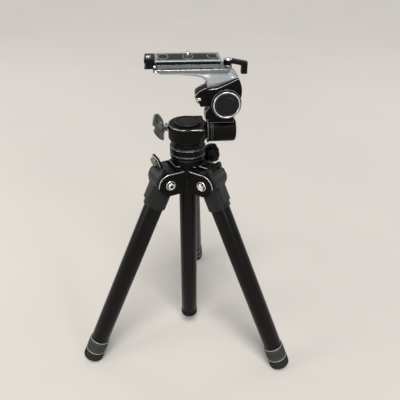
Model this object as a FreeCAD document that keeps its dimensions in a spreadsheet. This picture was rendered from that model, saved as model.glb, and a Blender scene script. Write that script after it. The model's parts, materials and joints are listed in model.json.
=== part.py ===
import FreeCAD, Part
import math
import os
import Sketcher
from FreeCAD import Placement, Rotation, Vector

# Camera tripod with three telescopic legs, a sliding centre column and a pan and tilt head.
# Millimetres and degrees. +Z is up, +X is to the right as seen from the front, the front is at -Y.
# The floor is z = 0 and the origin is under the middle of the space that the tripod takes up.

doc = FreeCAD.newDocument("camera_tripod")

# Driving sizes
SIZES = {
    # Legs, measured along each leg from its pivot
    "leg_angle": 25.2,
    "leg_length": 296.5,
    "leg_tube_radius": 12.5,
    "leg_tube_wall": 1.2,
    "inner_tube_wall": 1.0,
    "tube_play": 0.35,
    "seat_play": 0.05,
    "grip_radius": 13.9,
    "grip_length": 20.0,
    "grip_rim": 0.8,
    "foot_radius": 14.0,
    "foot_length": 15.0,
    "foot_round": 4.5,
    "foot_flat": 0.5,
    "foot_socket": 8.0,
    "tube_stagger": 8.0,
    "wedge_flange": 12.0,
    "wedge_stem": 14.0,
    # Leg top casting
    "head_radius": 17.3,
    "head_half_width": 14.0,
    "head_round": 2.5,
    "sleeve_radius": 14.75,
    "sleeve_length": 38.0,
    "sleeve_socket": 28.0,
    "panel_proud": 0.7,
    "panel_half_width": 7.5,
    "panel_top": 5.0,
    "panel_bottom": 31.0,
    # Leg angle latch, a flap hinged on the leg casting
    "latch_hinge_out": 13.2,
    "latch_hinge_up": 14.7,
    "latch_half_width": 8.5,
    "latch_thickness": 3.0,
    "latch_under": 1.2,
    "latch_barrel_radius": 2.6,
    "latch_pin_radius": 1.4,
    "latch_cheek_radius": 3.2,
    "latch_lip_radius": 2.3,
    "latch_lip_half_width": 5.0,
    "latch_open_angle": 108.0,
    # Spider, measured from the leg pivots
    "pivot_radial": 32.3,
    "ear_radius": 15.3,
    "ear_half_span": 18.2,
    "side_gap": 0.3,
    "neck_clearance": 2.0,
    "crest_radial": 12.0,
    "crest_rise": 15.0,
    "top_plate_rise": 19.8,
    "top_plate_edge": 21.9,
    "top_plate_half_edge": 10.0,
    "top_plate_cut_in": 3.0,
    "hub_radius": 14.6,
    "collar_radius": 21.2,
    "collar_height": 7.0,
    # Leg pivot bolts
    "bolt_radius": 3.0,
    "washer_radius": 6.6,
    "washer_thickness": 1.1,
    "bolt_head_radius": 4.7,
    "bolt_head_height": 3.0,
    "bolt_socket_radius": 2.0,
    "bolt_socket_depth": 2.2,
    "nut_across_corners": 5.6,
    "nut_height": 2.6,
    # Centre column
    "column_radius": 11.7,
    "column_wall": 1.3,
    "column_bush_wall": 1.1,
    "column_floor_gap": 20.0,
    "column_cap_radius": 12.5,
    "column_cap_height": 8.7,
    "column_cap_plug": 10.0,
    "column_seat_gap": 0.3,
    "head_seat_radius": 22.2,
    "head_seat_height": 5.7,
    "head_seat_plug": 14.0,
    "head_stud_radius": 4.76,
    "head_stud_length": 8.0,
    # Column lock
    "lock_azimuth": 30.0,
    "lock_rise": 21.8,
    "lock_boss_radius": 5.2,
    "lock_boss_end": 27.0,
    "lock_screw_radius": 2.5,
    "lock_screw_start": 13.0,
    "lock_knob_start": 30.0,
    "lock_skirt_length": 5.6,
    "lock_skirt_bore": 5.8,
    "lock_skirt_foot_radius": 8.4,
    "lock_skirt_top_radius": 11.4,
    "lock_knob_length": 10.8,
    "lock_knob_radius": 12.6,
    "lock_knob_round": 2.5,
    "lock_scallops": 8,
    "lock_scallop_radius": 3.0,
    # Pan base and pan housing
    "head_yaw": 7.0,
    "pan_base_height": 9.2,
    "pan_boss_radius": 12.0,
    "pan_boss_height": 3.0,
    "pan_washer_thickness": 0.5,
    "pan_washer_inner": 12.6,
    "pan_washer_radius": 20.4,
    "pan_spindle_radius": 4.0,
    "pan_spindle_flange": 8.0,
    "pan_foot_radius": 20.6,
    "pan_top_radius": 23.5,
    "pan_height": 27.3,
    "pan_foot_height": 4.0,
    "pan_flare_height": 20.0,
    "pan_corner_x": 20.0,
    "pan_corner_y": 22.6,
    "pan_chamfer": 1.6,
    "pan_recess_radius": 13.0,
    "pan_recess_depth": 11.0,
    "pan_cap_radius": 16.0,
    "pan_cap_height": 2.6,
    "pan_cap_plug": 4.0,
    # Pan lock wing screw
    "wing_drop": 5.0,
    "wing_screw_radius": 2.5,
    "wing_screw_start": 14.2,
    "wing_collar_gap": 0.6,
    "wing_collar_radius": 5.0,
    "wing_collar_length": 2.4,
    "wing_hub_radius": 5.6,
    "wing_neck_radius": 3.5,
    "wing_hub_gap": 0.7,
    "wing_hub_length": 14.6,
    "wing_half_height": 16.6,
    "wing_half_thickness": 3.4,
    "wing_round": 1.6,
    # Side tilt barrel and bracket
    "barrel_drop": 10.0,
    "barrel_radius": 14.0,
    "barrel_start": 25.2,
    "barrel_end": 58.2,
    "barrel_round": 3.5,
    "barrel_neck_radius": 9.0,
    "side_spindle_radius": 5.0,
    "side_spindle_tip": 50.0,
    "side_spindle_root": 16.0,
    "tongue_half_width": 7.0,
    "tongue_top_radius": 15.0,
    "tongue_left": 23.3,
    "tongue_right": 10.7,
    "tongue_clear": 1.5,
    "tongue_step": 4.9,
    "tongue_gap": 0.9,
    # Tilt axis, measured from the middle of the pan housing's top
    "tilt_axis_x": 44.0,
    "tilt_axis_rise": 28.5,
    "tilt_axle_radius": 4.0,
    "shell_radius": 17.4,
    "shell_half_width": 16.0,
    "shell_slot_radius": 22.2,
    "arm_half_width": 16.5,
    "arm_top": 36.6,
    "arm_tip": 74.8,
    "arm_nose": 13.4,
    "arm_shoulder_round": 7.0,
    "seam_gap": 0.3,
    "lug_half_width": 9.0,
    "drum_boss_radius": 17.2,
    "drum_boss_thickness": 1.6,
    "drum_ring_radius": 15.2,
    "drum_ring_inner": 12.7,
    "drum_ring_thickness": 2.8,
    "drum_disc_thickness": 2.2,
    "drum_cover_radius": 12.0,
    "drum_cover_thickness": 2.6,
    "handle_socket_radius": 3.5,
    "handle_socket_depth": 8.0,
    "handle_insert_radius": 5.0,
    "handle_insert_proud": 2.0,
    # Quick release clamp on the platform
    "clamp_left": 81.8,
    "clamp_right": 1.6,
    "clamp_half_width": 17.0,
    "clamp_floor": 3.2,
    "clamp_rail_height": 5.4,
    "clamp_rail_right": 10.7,
    "clamp_channel_half_width": 12.3,
    "clamp_channel_depth": 2.4,
    "clamp_round": 2.0,
    "lever_axis_x": 1.6,
    "lever_boss_radius": 4.4,
    "lever_boss_height": 0.4,
    "lever_hub_height": 5.8,
    "lever_pin_radius": 2.0,
    "lever_pin_head_radius": 3.9,
    "lever_pin_head_height": 1.3,
    "lever_flat": 6.0,
    "lever_slope": 3.2,
    "lever_arm_rise": 1.4,
    "lever_reach": 22.4,
    "lever_tab_height": 12.8,
    "lever_tab_thickness": 6.6,
    "lever_half_width": 4.6,
    # Quick release plate and camera screw
    "plate_left": 79.2,
    "plate_right": 7.0,
    "plate_half_width": 17.0,
    "plate_inset": 3.0,
    "plate_gap": 1.5,
    "plate_thickness": 2.8,
    "plate_chamfer": 0.7,
    "plate_tongue_half_width": 12.0,
    "pad_inset": 2.0,
    "pad_thickness": 1.0,
    "pad_proud": 0.4,
    "camera_screw_radius": 3.175,
    "camera_screw_neck": 2.8,
    "camera_screw_rise": 5.0,
    "camera_screw_head_radius": 7.5,
    "camera_screw_head_height": 3.0,
    # Plate stop and release button at the left end
    "stop_length": 11.5,
    "stop_half_width": 12.5,
    "stop_height": 10.8,
    "stop_round": 1.2,
    "stop_notch": 1.8,
    "stop_cap": 4.6,
    "button_radius": 2.6,
    "button_rise": 2.2,
    "button_travel": 2.0,
    "button_depth": 5.0,
}

LEGS = {"left": 210.0, "right": 330.0, "back": 90.0}
OPEN_LATCH = "left"

sheet = doc.addObject("Spreadsheet::Sheet", "Sizes")
for row, (alias, number) in enumerate(SIZES.items(), start=1):
    sheet.set("A%d" % row, alias)
    sheet.set("B%d" % row, str(number))
    sheet.setAlias("B%d" % row, alias)
doc.recompute()


def text_of(size):
    """The expression text of a size or a plain number."""
    return size.text if isinstance(size, Size) else repr(float(size))


class Size:
    """A size with its value and the sheet expression that gives it."""

    def __init__(self, value, text):
        self.value = float(value)
        self.text = text

    def __float__(self):
        return self.value

    def __add__(self, other):
        return Size(self.value + float(other), "(%s + %s)" % (self.text, text_of(other)))

    def __sub__(self, other):
        return Size(self.value - float(other), "(%s - %s)" % (self.text, text_of(other)))

    def __mul__(self, other):
        return Size(self.value * float(other), "(%s * %s)" % (self.text, text_of(other)))

    def __truediv__(self, other):
        return Size(self.value / float(other), "(%s / %s)" % (self.text, text_of(other)))

    def __neg__(self):
        return Size(-self.value, "(0 - %s)" % self.text)

    __radd__ = __add__
    __rmul__ = __mul__

    def __rsub__(self, other):
        return Size(float(other) - self.value, "(%s - %s)" % (text_of(other), self.text))


class SizeTable:
    """Every driving size under its own name."""


d = SizeTable()
for alias in SIZES:
    setattr(d, alias, Size(sheet.get(alias), "Sizes." + alias))


def v(size):
    return float(size)


def bind(obj, prop, size):
    """Ties a property to the sheet, or sets it when the size is a plain number."""
    if isinstance(size, Size):
        obj.setExpression(prop, size.text)
    else:
        setattr(obj, prop, size)


# Frames
def shift(x=0, y=0, z=0):
    return Placement(Vector(v(x), v(y), v(z)), Rotation())


def turn(axis, angle):
    return Placement(Vector(), Rotation(axis, v(angle)))


X, Y, Z = Vector(1, 0, 0), Vector(0, 1, 0), Vector(0, 0, 1)


def chain(*steps):
    placement = Placement()
    for step in steps:
        placement = placement.multiply(step)
    return placement


LEAN = math.radians(v(d.leg_angle))
GROUND_LIFT = (v(d.foot_round) * (1 - math.cos(LEAN))
               + v(d.foot_radius - d.foot_round) * math.sin(LEAN) - v(d.foot_flat))
PIVOT_Z = v(d.leg_length) * math.cos(LEAN) + GROUND_LIFT


def foot_reach(leg_azimuth, view_azimuth):
    """How far a foot reaches from the column axis in a level direction."""
    along = math.radians(leg_azimuth - view_azimuth)
    length = v(d.leg_length - d.foot_round)
    centre = (v(d.pivot_radial) + length * math.sin(LEAN)) * math.cos(along)
    lean_part = math.sin(LEAN) * math.cos(along)
    return centre + v(d.foot_radius - d.foot_round) * math.sqrt(1 - lean_part ** 2) + v(d.foot_round)


COLUMN_Y = (foot_reach(LEGS["left"], 270) - foot_reach(LEGS["back"], 90)) / 2
COLUMN = shift(y=COLUMN_Y)
DECK = COLUMN.multiply(shift(z=PIVOT_Z))
COLLAR_TOP = d.top_plate_rise + d.collar_height
SEAT_TOP = COLLAR_TOP + d.column_seat_gap + d.head_seat_height
PAN_BASE_TOP = SEAT_TOP + d.pan_base_height
PAN_HOUSING_FOOT = PAN_BASE_TOP + d.pan_washer_thickness
HEAD = chain(DECK, shift(z=PAN_HOUSING_FOOT + d.pan_height), turn(Z, d.head_yaw))
TILT = chain(HEAD, shift(x=d.tilt_axis_x, z=d.tilt_axis_rise))


def leg_frame(azimuth):
    """Origin on the pivot, Z up the leg, X outwards and Y along the pivot bolt."""
    return chain(DECK, turn(Z, azimuth), shift(x=d.pivot_radial), turn(Y, -d.leg_angle))


# Makers
PARTS = []


def keep(obj, label, placement):
    obj.Label = label
    obj.Placement = placement
    PARTS.append(obj)
    return obj


def origin_plane(body, role):
    return [item for item in body.Origin.OriginFeatures if item.Role == role][0]


def outline_sketch(body, role, points):
    """A closed outline of straight edges with every corner tied to the sheet."""
    sketch = body.newObject("Sketcher::SketchObject", body.Name + "_outline")
    sketch.AttachmentSupport = [(origin_plane(body, role), "")]
    sketch.MapMode = "FlatFace"
    corners = [Vector(v(across), v(up), 0) for across, up in points]
    count = len(corners)
    for index in range(count):
        sketch.addGeometry(Part.LineSegment(corners[index], corners[(index + 1) % count]), False)
    for index in range(count):
        sketch.addConstraint(Sketcher.Constraint("Coincident", index, 2, (index + 1) % count, 1))
    for index, corner in enumerate(points):
        for kind, axis, size in (("DistanceX", -2, corner[0]), ("DistanceY", -1, corner[1])):
            if abs(v(size)) < 1e-6:
                sketch.addConstraint(Sketcher.Constraint("PointOnObject", index, 1, axis))
                continue
            number = sketch.addConstraint(Sketcher.Constraint(kind, -1, 1, index, 1, v(size)))
            if isinstance(size, Size):
                sketch.setExpression("Constraints[%d]" % number, size.text)
    return sketch


def turned(label, placement, profile, rounds=(), chamfers=()):
    """A body turned about its Z axis. Rims to round or chamfer are (radius, height, size)."""
    body = doc.addObject("PartDesign::Body", label)
    sketch = outline_sketch(body, "XZ_Plane", profile)
    revolution = body.newObject("PartDesign::Revolution", label + "_turn")
    revolution.Profile = sketch
    revolution.ReferenceAxis = (sketch, ["V_Axis"])
    revolution.Angle = 360
    sketch.Visibility = False
    doc.recompute()
    tip = revolution
    for kind, prop, rims in (("Fillet", "Radius", rounds), ("Chamfer", "Size", chamfers)):
        for radius, height, size in rims:
            edges = rim_edges(tip.Shape, v(radius), v(height))
            dressing = body.newObject("PartDesign::" + kind, label + "_" + kind.lower())
            dressing.Base = (tip, edges)
            bind(dressing, prop, size)
            doc.recompute()
            tip = dressing
    return keep(body, label, placement)


def rim_edges(shape, radius, height):
    """The names of the circles about Z with this radius at this height."""
    names = []
    for number, edge in enumerate(shape.Edges, start=1):
        curve = edge.Curve
        if not isinstance(curve, Part.Circle):
            continue
        centre = curve.Center
        if abs(curve.Radius - radius) < 0.01 and abs(centre.z - height) < 0.01:
            if math.hypot(centre.x, centre.y) < 0.01:
                names.append("Edge%d" % number)
    return names


def ring(label, placement, inner, outer, low, high, **dressing):
    """A turned ring or tube of one wall."""
    profile = [(inner, low), (outer, low), (outer, high), (inner, high)]
    return turned(label, placement, profile, **dressing)


def solid(label, placement, shape):
    """A piece whose curved shape is worked out in code from the same sizes."""
    feature = doc.addObject("Part::Feature", label)
    feature.Shape = shape.removeSplitter()
    return keep(feature, label, placement)


def rod(radius, start, end, axis, centre=Vector()):
    """A round bar along an axis between two distances from its centre point."""
    base = centre + axis * v(start)
    return Part.makeCylinder(v(radius), v(end) - v(start), base, axis)


def block(x0, x1, y0, y1, z0, z1):
    corner = Vector(v(x0), v(y0), v(z0))
    return Part.makeBox(v(x1) - v(x0), v(y1) - v(y0), v(z1) - v(z0), corner)


def side_slab(points, half_width, half_low=None):
    """An outline in X and Z, thick along Y. A step of four numbers is an arc through the first two."""
    low = -v(half_width) if half_low is None else v(half_low)
    edges = []
    start = points[0]
    for step in list(points[1:]) + [points[0]]:
        first = Vector(v(start[0]), low, v(start[1]))
        last = Vector(v(step[-2]), low, v(step[-1]))
        if len(step) == 4:
            middle = Vector(v(step[0]), low, v(step[1]))
            edges.append(Part.Arc(first, middle, last).toShape())
        else:
            edges.append(Part.makeLine(first, last))
        start = step[-2:]
    face = Part.Face(Part.Wire(edges))
    return face.extrude(Vector(0, v(half_width) - low, 0))


def plan_slab(points, low, high):
    """An outline of straight edges in X and Y, thick along Z."""
    corners = [Vector(v(x), v(y), v(low)) for x, y in points]
    face = Part.Face(Part.makePolygon(corners + corners[:1]))
    return face.extrude(Vector(0, 0, v(high) - v(low)))


def hexagon(radius, low, high):
    corners = [(v(radius) * math.cos(math.radians(60 * side)),
                v(radius) * math.sin(math.radians(60 * side))) for side in range(6)]
    return plan_slab(corners, low, high)


def moved(shape, placement):
    copy = shape.copy()
    copy.Placement = placement.multiply(copy.Placement)
    return copy


def dress(shape, radius, wanted):
    """Rounds the edges that the wanted test picks."""
    edges = [edge for edge in shape.Edges if wanted(edge)]
    return shape.makeFillet(v(radius), edges) if edges else shape


def along_y(edge):
    if not isinstance(edge.Curve, Part.Line):
        return False
    return abs(edge.Curve.Direction.y) > 0.99


def on_side(half_width):
    """Picks the edges that lie in either side face of a slab."""
    def wanted(edge):
        box = edge.BoundBox
        flat = box.YLength < 1e-4
        return flat and abs(abs(box.YMin) - v(half_width)) < 1e-3
    return wanted


def tangent_point(point, centre, radius):
    """Where the line from a point touches the upper side of a circle, in X and Z."""
    across, up = point[0] - centre[0], point[1] - centre[1]
    angle = math.atan2(up, across) - math.acos(radius / math.hypot(across, up))
    return centre[0] + radius * math.cos(angle), centre[1] + radius * math.sin(angle)


# Spider: three forks round a hub, with the collar and the column lock boss
def spider_shape():
    ear_top = v(d.crest_rise)
    pivot = (v(d.pivot_radial), 0.0)
    touch = tangent_point((v(d.crest_radial), ear_top), pivot, v(d.ear_radius))
    nose = (pivot[0] + v(d.ear_radius), 0.0)
    bottom = -v(d.ear_radius)
    side = [(0, bottom), (pivot[0], bottom), nose + touch, (v(d.crest_radial), ear_top), (0, ear_top)]
    arm = side_slab(side, d.ear_half_span)
    clear_radius = d.head_radius + d.side_gap
    clear_half = d.head_half_width + d.side_gap
    pivot_point = Vector(v(d.pivot_radial), 0, 0)
    slot = rod(clear_radius, -clear_half, clear_half, Y, pivot_point)
    far = d.pivot_radial + d.head_radius * 2
    slot = slot.fuse(block(d.hub_radius, far, -clear_half, clear_half, -d.head_radius * 2, 0))
    cut_in = d.top_plate_edge - d.top_plate_cut_in
    slot_plan = [(d.top_plate_edge, -d.top_plate_half_edge), (cut_in, -clear_half), (far, -clear_half),
                 (far, clear_half), (cut_in, clear_half), (d.top_plate_edge, d.top_plate_half_edge)]
    slot = slot.fuse(plan_slab(slot_plan, 0, COLLAR_TOP + d.collar_height))
    bolt_hole = rod(d.bolt_radius + d.seat_play, -d.ear_half_span * 2, d.ear_half_span * 2, Y, pivot_point)
    body = rod(d.hub_radius, bottom, d.top_plate_rise, Z)
    for azimuth in LEGS.values():
        body = body.fuse(moved(arm, turn(Z, azimuth)))
    corners = [turn(Z, azimuth).multVec(Vector(v(d.top_plate_edge), side * v(d.top_plate_half_edge), 0))
               for azimuth in sorted(LEGS.values()) for side in (-1, 1)]
    plate = plan_slab([(corner.x, corner.y) for corner in corners], 0, d.top_plate_rise)
    body = body.fuse(plate)
    for azimuth in LEGS.values():
        body = body.cut(moved(slot, turn(Z, azimuth))).cut(moved(bolt_hole, turn(Z, azimuth)))
    body = body.fuse(rod(d.collar_radius, d.top_plate_rise - 1, COLLAR_TOP, Z))
    boss = moved(rod(d.lock_boss_radius, d.lock_screw_start, d.lock_boss_end, X, Vector(0, 0, v(d.lock_rise))),
                 turn(Z, d.lock_azimuth))
    body = body.fuse(boss)
    bore = d.column_radius + d.column_bush_wall + d.seat_play
    body = body.cut(rod(bore, bottom - 1, COLLAR_TOP + 1, Z))
    thread = rod(d.lock_screw_radius + d.seat_play, 0, d.lock_boss_end * 2, X, Vector(0, 0, v(d.lock_rise)))
    return body.cut(moved(thread, turn(Z, d.lock_azimuth)))


solid("spider", DECK, spider_shape())
ring("column_bush", DECK, d.column_radius + d.seat_play, d.column_radius + d.column_bush_wall,
     -d.ear_radius, COLLAR_TOP)


def leg_bolts():
    """One bolt with its washer per leg, head at the +Y end of the fork."""
    outer = d.ear_half_span
    bolt = rod(d.bolt_radius, -(outer + d.washer_thickness + d.nut_height * 0.8), outer, Y)
    bolt = bolt.fuse(rod(d.washer_radius, outer, outer + d.washer_thickness, Y))
    head = rod(d.bolt_head_radius, outer + d.washer_thickness,
               outer + d.washer_thickness + d.bolt_head_height, Y)
    tip = v(outer + d.washer_thickness + d.bolt_head_height)
    head = dress(head, d.bolt_head_height * 0.45, lambda edge: abs(edge.BoundBox.YMin - tip) < 1e-3
                 and edge.BoundBox.YLength < 1e-3)
    socket = moved(hexagon(d.bolt_socket_radius, -d.bolt_socket_depth, 1),
                   chain(shift(y=tip), turn(X, -90)))
    return bolt.fuse(head).cut(socket)


def leg_nuts():
    """One hexagon nut with its washer per leg, at the other end of the fork."""
    outer = d.ear_half_span
    low = -(outer + d.washer_thickness)
    nut = moved(hexagon(d.nut_across_corners, 0, d.nut_height), chain(shift(y=low), turn(X, 90)))
    nut = nut.fuse(rod(d.washer_radius, low, -outer, Y))
    return nut.cut(rod(d.bolt_radius + d.seat_play, low - d.nut_height * 2, 0, Y))


def round_the_legs(shape):
    copies = [moved(shape, chain(turn(Z, azimuth), shift(x=d.pivot_radial))) for azimuth in LEGS.values()]
    return Part.makeCompound(copies)


for name, shape in (("leg_pivot_bolts", leg_bolts()), ("leg_pivot_nuts", leg_nuts())):
    feature = doc.addObject("Part::Feature", name)
    feature.Shape = round_the_legs(shape)
    keep(feature, name, DECK)


# Column lock knob and its screw, along X of their own frame
LOCK = chain(DECK, turn(Z, d.lock_azimuth), shift(z=d.lock_rise), turn(Y, 90))
LOCK_KNOB_END = d.lock_knob_start + d.lock_knob_length
ring("column_lock_screw", LOCK, 0, d.lock_screw_radius, d.lock_screw_start,
     d.lock_knob_start + d.lock_knob_length / 2)


def lock_knob():
    body = doc.addObject("PartDesign::Body", "column_lock_knob")
    bore = d.lock_screw_radius + d.seat_play
    seat = d.lock_knob_start + d.lock_knob_length / 2
    skirt_foot = d.lock_knob_start - d.lock_skirt_length
    profile = [(bore, d.lock_knob_start), (d.lock_skirt_bore, d.lock_knob_start), (d.lock_skirt_bore, skirt_foot),
               (d.lock_skirt_foot_radius, skirt_foot), (d.lock_skirt_top_radius, d.lock_knob_start),
               (d.lock_knob_radius, d.lock_knob_start),
               (d.lock_knob_radius, LOCK_KNOB_END), (0, LOCK_KNOB_END), (0, seat), (bore, seat)]
    sketch = outline_sketch(body, "XZ_Plane", profile)
    revolution = body.newObject("PartDesign::Revolution", "knob_turn")
    revolution.Profile = sketch
    revolution.ReferenceAxis = (sketch, ["V_Axis"])
    doc.recompute()
    fillet = body.newObject("PartDesign::Fillet", "knob_round")
    fillet.Base = (revolution, rim_edges(revolution.Shape, v(d.lock_knob_radius), v(LOCK_KNOB_END)))
    bind(fillet, "Radius", d.lock_knob_round)
    circle = body.newObject("Sketcher::SketchObject", "scallop_outline")
    circle.AttachmentSupport = [(origin_plane(body, "XY_Plane"), "")]
    circle.MapMode = "FlatFace"
    reach = d.lock_knob_radius + d.lock_scallop_radius * 0.6
    circle.addGeometry(Part.Circle(Vector(v(reach), 0, 0), Z, v(d.lock_scallop_radius)), False)
    circle.addConstraint(Sketcher.Constraint("PointOnObject", 0, 3, -1))
    number = circle.addConstraint(Sketcher.Constraint("DistanceX", -1, 1, 0, 3, v(reach)))
    circle.setExpression("Constraints[%d]" % number, reach.text)
    number = circle.addConstraint(Sketcher.Constraint("Radius", 0, v(d.lock_scallop_radius)))
    circle.setExpression("Constraints[%d]" % number, d.lock_scallop_radius.text)
    doc.recompute()
    before = fillet.Shape.Volume
    pocket = body.newObject("PartDesign::Pocket", "scallop")
    pocket.Profile = circle
    pocket.Reversed = True
    bind(pocket, "Length", LOCK_KNOB_END * 2)
    doc.recompute()
    if pocket.Shape.Volume > before - 1:
        raise RuntimeError("the knob's scallop points away from the knob")
    pattern = body.newObject("PartDesign::PolarPattern", "scallops")
    pattern.Originals = [pocket]
    pattern.Axis = (circle, ["N_Axis"])
    pattern.Angle = 360
    pattern.setExpression("Occurrences", d.lock_scallops.text)
    body.Tip = pattern
    doc.recompute()
    return keep(body, "column_lock_knob", LOCK)


lock_knob()

# Centre column, measured from the floor
CAP_TOP = d.column_floor_gap + d.column_cap_height
COLUMN_BORE = d.column_radius - d.column_wall
ring("column_tube", COLUMN, COLUMN_BORE, d.column_radius, CAP_TOP, COLLAR_TOP + d.column_seat_gap + PIVOT_Z)
PLUG = COLUMN_BORE - d.seat_play
turned("column_end_cap", COLUMN,
       [(0, d.column_floor_gap), (d.column_cap_radius, d.column_floor_gap), (d.column_cap_radius, CAP_TOP),
        (PLUG, CAP_TOP), (PLUG, CAP_TOP + d.column_cap_plug), (0, CAP_TOP + d.column_cap_plug)],
       chamfers=[(d.column_cap_radius, d.column_floor_gap, 1.0)])
SEAT_FOOT = COLLAR_TOP + d.column_seat_gap
turned("column_head_seat", DECK,
       [(0, SEAT_FOOT - d.head_seat_plug), (PLUG, SEAT_FOOT - d.head_seat_plug), (PLUG, SEAT_FOOT),
        (d.head_seat_radius, SEAT_FOOT), (d.head_seat_radius, SEAT_TOP), (d.head_stud_radius, SEAT_TOP),
        (d.head_stud_radius, SEAT_TOP + d.head_stud_length), (0, SEAT_TOP + d.head_stud_length)],
       chamfers=[(d.head_seat_radius, SEAT_FOOT, 0.8), (d.head_seat_radius, SEAT_TOP, 0.6)])


# Legs
GRIP_FOOT = -(d.leg_length - d.foot_length)
GRIP_TOP = GRIP_FOOT + d.grip_length
TUBE_TOP = -(d.sleeve_length - d.sleeve_socket)
SECOND_RADIUS = d.leg_tube_radius - d.leg_tube_wall - d.tube_play
THIRD_RADIUS = SECOND_RADIUS - d.inner_tube_wall - d.tube_play
FOOT_TUBE_RADIUS = THIRD_RADIUS - d.inner_tube_wall - d.tube_play
FOOT_TUBE_BORE = FOOT_TUBE_RADIUS - d.inner_tube_wall


def latch_hinge():
    """The latch's frame: origin on its hinge, X outwards and level, Z up."""
    return chain(shift(x=d.latch_hinge_out, z=d.latch_hinge_up), turn(Y, d.leg_angle))


def casting_shape():
    """Round head between the ears, sleeve narrowed where it passes them, and two latch cheeks."""
    half = d.head_half_width
    head = rod(d.head_radius, -half, half, Y)
    head = dress(head, d.head_round, lambda edge: edge.BoundBox.YLength < 1e-3)
    sleeve = rod(d.sleeve_radius, -d.sleeve_length, 0, Z)
    neck = (d.ear_radius + d.neck_clearance) / math.cos(LEAN)
    for side in (-1, 1):
        near, far = sorted((side * v(half), side * v(d.sleeve_radius) * 2))
        sleeve = sleeve.cut(block(-d.sleeve_radius, d.sleeve_radius, near, far, -neck, d.side_gap))
    body = head.fuse(sleeve)
    panel = block(0, d.sleeve_radius + d.panel_proud, -d.panel_half_width, d.panel_half_width,
                  -d.panel_bottom, -d.panel_top)
    body = body.fuse(panel)
    hinge = Vector(v(d.latch_hinge_out), 0, v(d.latch_hinge_up))
    inner = d.latch_half_width + d.side_gap
    for side in (-1, 1):
        near, far = sorted((side * v(inner), side * v(half)))
        cheek = rod(d.latch_cheek_radius, near, far, Y, hinge)
        web = [(0, 0), (v(d.latch_hinge_out) + 2.0, v(d.latch_hinge_up) - 6.5),
               (v(d.latch_hinge_out) + 2.9, v(d.latch_hinge_up) - 1.3),
               (v(d.latch_hinge_out) - 2.6, v(d.latch_hinge_up) + 1.9)]
        body = body.fuse(cheek).fuse(side_slab(web, far, near))
    room = rod(d.latch_barrel_radius + d.side_gap, -inner, inner, Y, hinge)
    body = body.cut(room)
    body = body.cut(rod(d.latch_pin_radius + d.seat_play, -half - 1, half + 1, Y, hinge))
    body = body.cut(rod(d.leg_tube_radius + d.seat_play, -d.sleeve_length - 1, TUBE_TOP + 0.3, Z))
    return body.cut(rod(d.bolt_radius + d.seat_play, -half - 1, half + 1, Y))


def latch_shape():
    """A flap with its hinge barrel, trunnions, finger lip and a square stopping edge."""
    half = d.latch_half_width
    tip = -(d.pivot_radial + latch_out() - d.top_plate_edge - d.side_gap)
    plate = block(tip, 0, -half, half, -d.latch_under, d.latch_thickness - d.latch_under)
    plate = dress(plate, 0.8, lambda edge: abs(edge.BoundBox.XMin - v(tip)) < 1e-3
                  and edge.BoundBox.YLength < 1e-3)
    flap = plate.fuse(rod(d.latch_barrel_radius, -half, half, Y))
    flap = flap.fuse(rod(d.latch_pin_radius, -(d.head_half_width - 0.4), d.head_half_width - 0.4, Y))
    lip = rod(d.latch_lip_radius, -d.latch_lip_half_width, d.latch_lip_half_width, Y,
              Vector(v(tip) + v(d.latch_lip_radius) + 0.6, 0, v(d.latch_thickness - d.latch_under)))
    lip = dress(lip, 1.2, lambda edge: edge.BoundBox.YLength < 1e-3)
    return flap.fuse(lip)


def latch_out():
    """How far the latch hinge lies outside the pivot, level, with the leg at rest."""
    return v(d.latch_hinge_out) * math.cos(LEAN) - v(d.latch_hinge_up) * math.sin(LEAN)


def foot_shape(azimuth):
    """A rounded rubber shoe with a socket for the tube, flat where it stands."""
    shoe = rod(d.foot_radius, -d.leg_length, GRIP_FOOT, Z)
    shoe = dress(shoe, d.foot_round, lambda edge: abs(edge.BoundBox.ZMax + v(d.leg_length)) < 1e-3
                 and edge.BoundBox.ZLength < 1e-3)
    shoe = shoe.cut(rod(FOOT_TUBE_RADIUS + d.seat_play, GRIP_FOOT - d.foot_socket, GRIP_FOOT + 1, Z))
    span = v(d.leg_length) * 2
    floor = Part.makeBox(span, span, span, Vector(-span / 2, -span / 2, -span))
    return shoe.cut(moved(floor, leg_frame(azimuth).inverse()))


def make_leg(leg, azimuth):
    frame = leg_frame(azimuth)
    solid(leg + "_leg_casting", frame, casting_shape())
    ring(leg + "_outer_tube", frame, d.leg_tube_radius - d.leg_tube_wall, d.leg_tube_radius,
         GRIP_TOP + d.side_gap, TUBE_TOP)
    ring(leg + "_second_tube", frame, SECOND_RADIUS - d.inner_tube_wall, SECOND_RADIUS,
         GRIP_TOP + d.side_gap, TUBE_TOP - d.tube_stagger)
    ring(leg + "_third_tube", frame, THIRD_RADIUS - d.inner_tube_wall, THIRD_RADIUS,
         GRIP_TOP + d.side_gap, TUBE_TOP - d.tube_stagger * 2)
    ring(leg + "_foot_tube", frame, FOOT_TUBE_BORE, FOOT_TUBE_RADIUS,
         GRIP_FOOT - d.foot_socket, TUBE_TOP - d.tube_stagger * 3)
    top = TUBE_TOP - d.tube_stagger * 3
    stem = FOOT_TUBE_BORE - d.seat_play
    turned(leg + "_lock_wedge", frame,
           [(0, top - d.wedge_stem), (stem, top - d.wedge_stem), (stem, top), (FOOT_TUBE_RADIUS, top),
            (FOOT_TUBE_RADIUS, top + d.wedge_flange), (0, top + d.wedge_flange)])
    ring(leg + "_foot_grip", frame, FOOT_TUBE_RADIUS + d.seat_play, d.grip_radius, GRIP_FOOT, GRIP_TOP,
         chamfers=[(d.grip_radius, GRIP_TOP, d.grip_rim), (d.grip_radius, GRIP_FOOT, d.grip_rim / 2)])
    solid(leg + "_rubber_foot", frame, foot_shape(azimuth))
    opened = d.latch_open_angle if leg == OPEN_LATCH else 0
    solid(leg + "_angle_latch", chain(frame, latch_hinge(), turn(Y, opened)), latch_shape())


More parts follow.
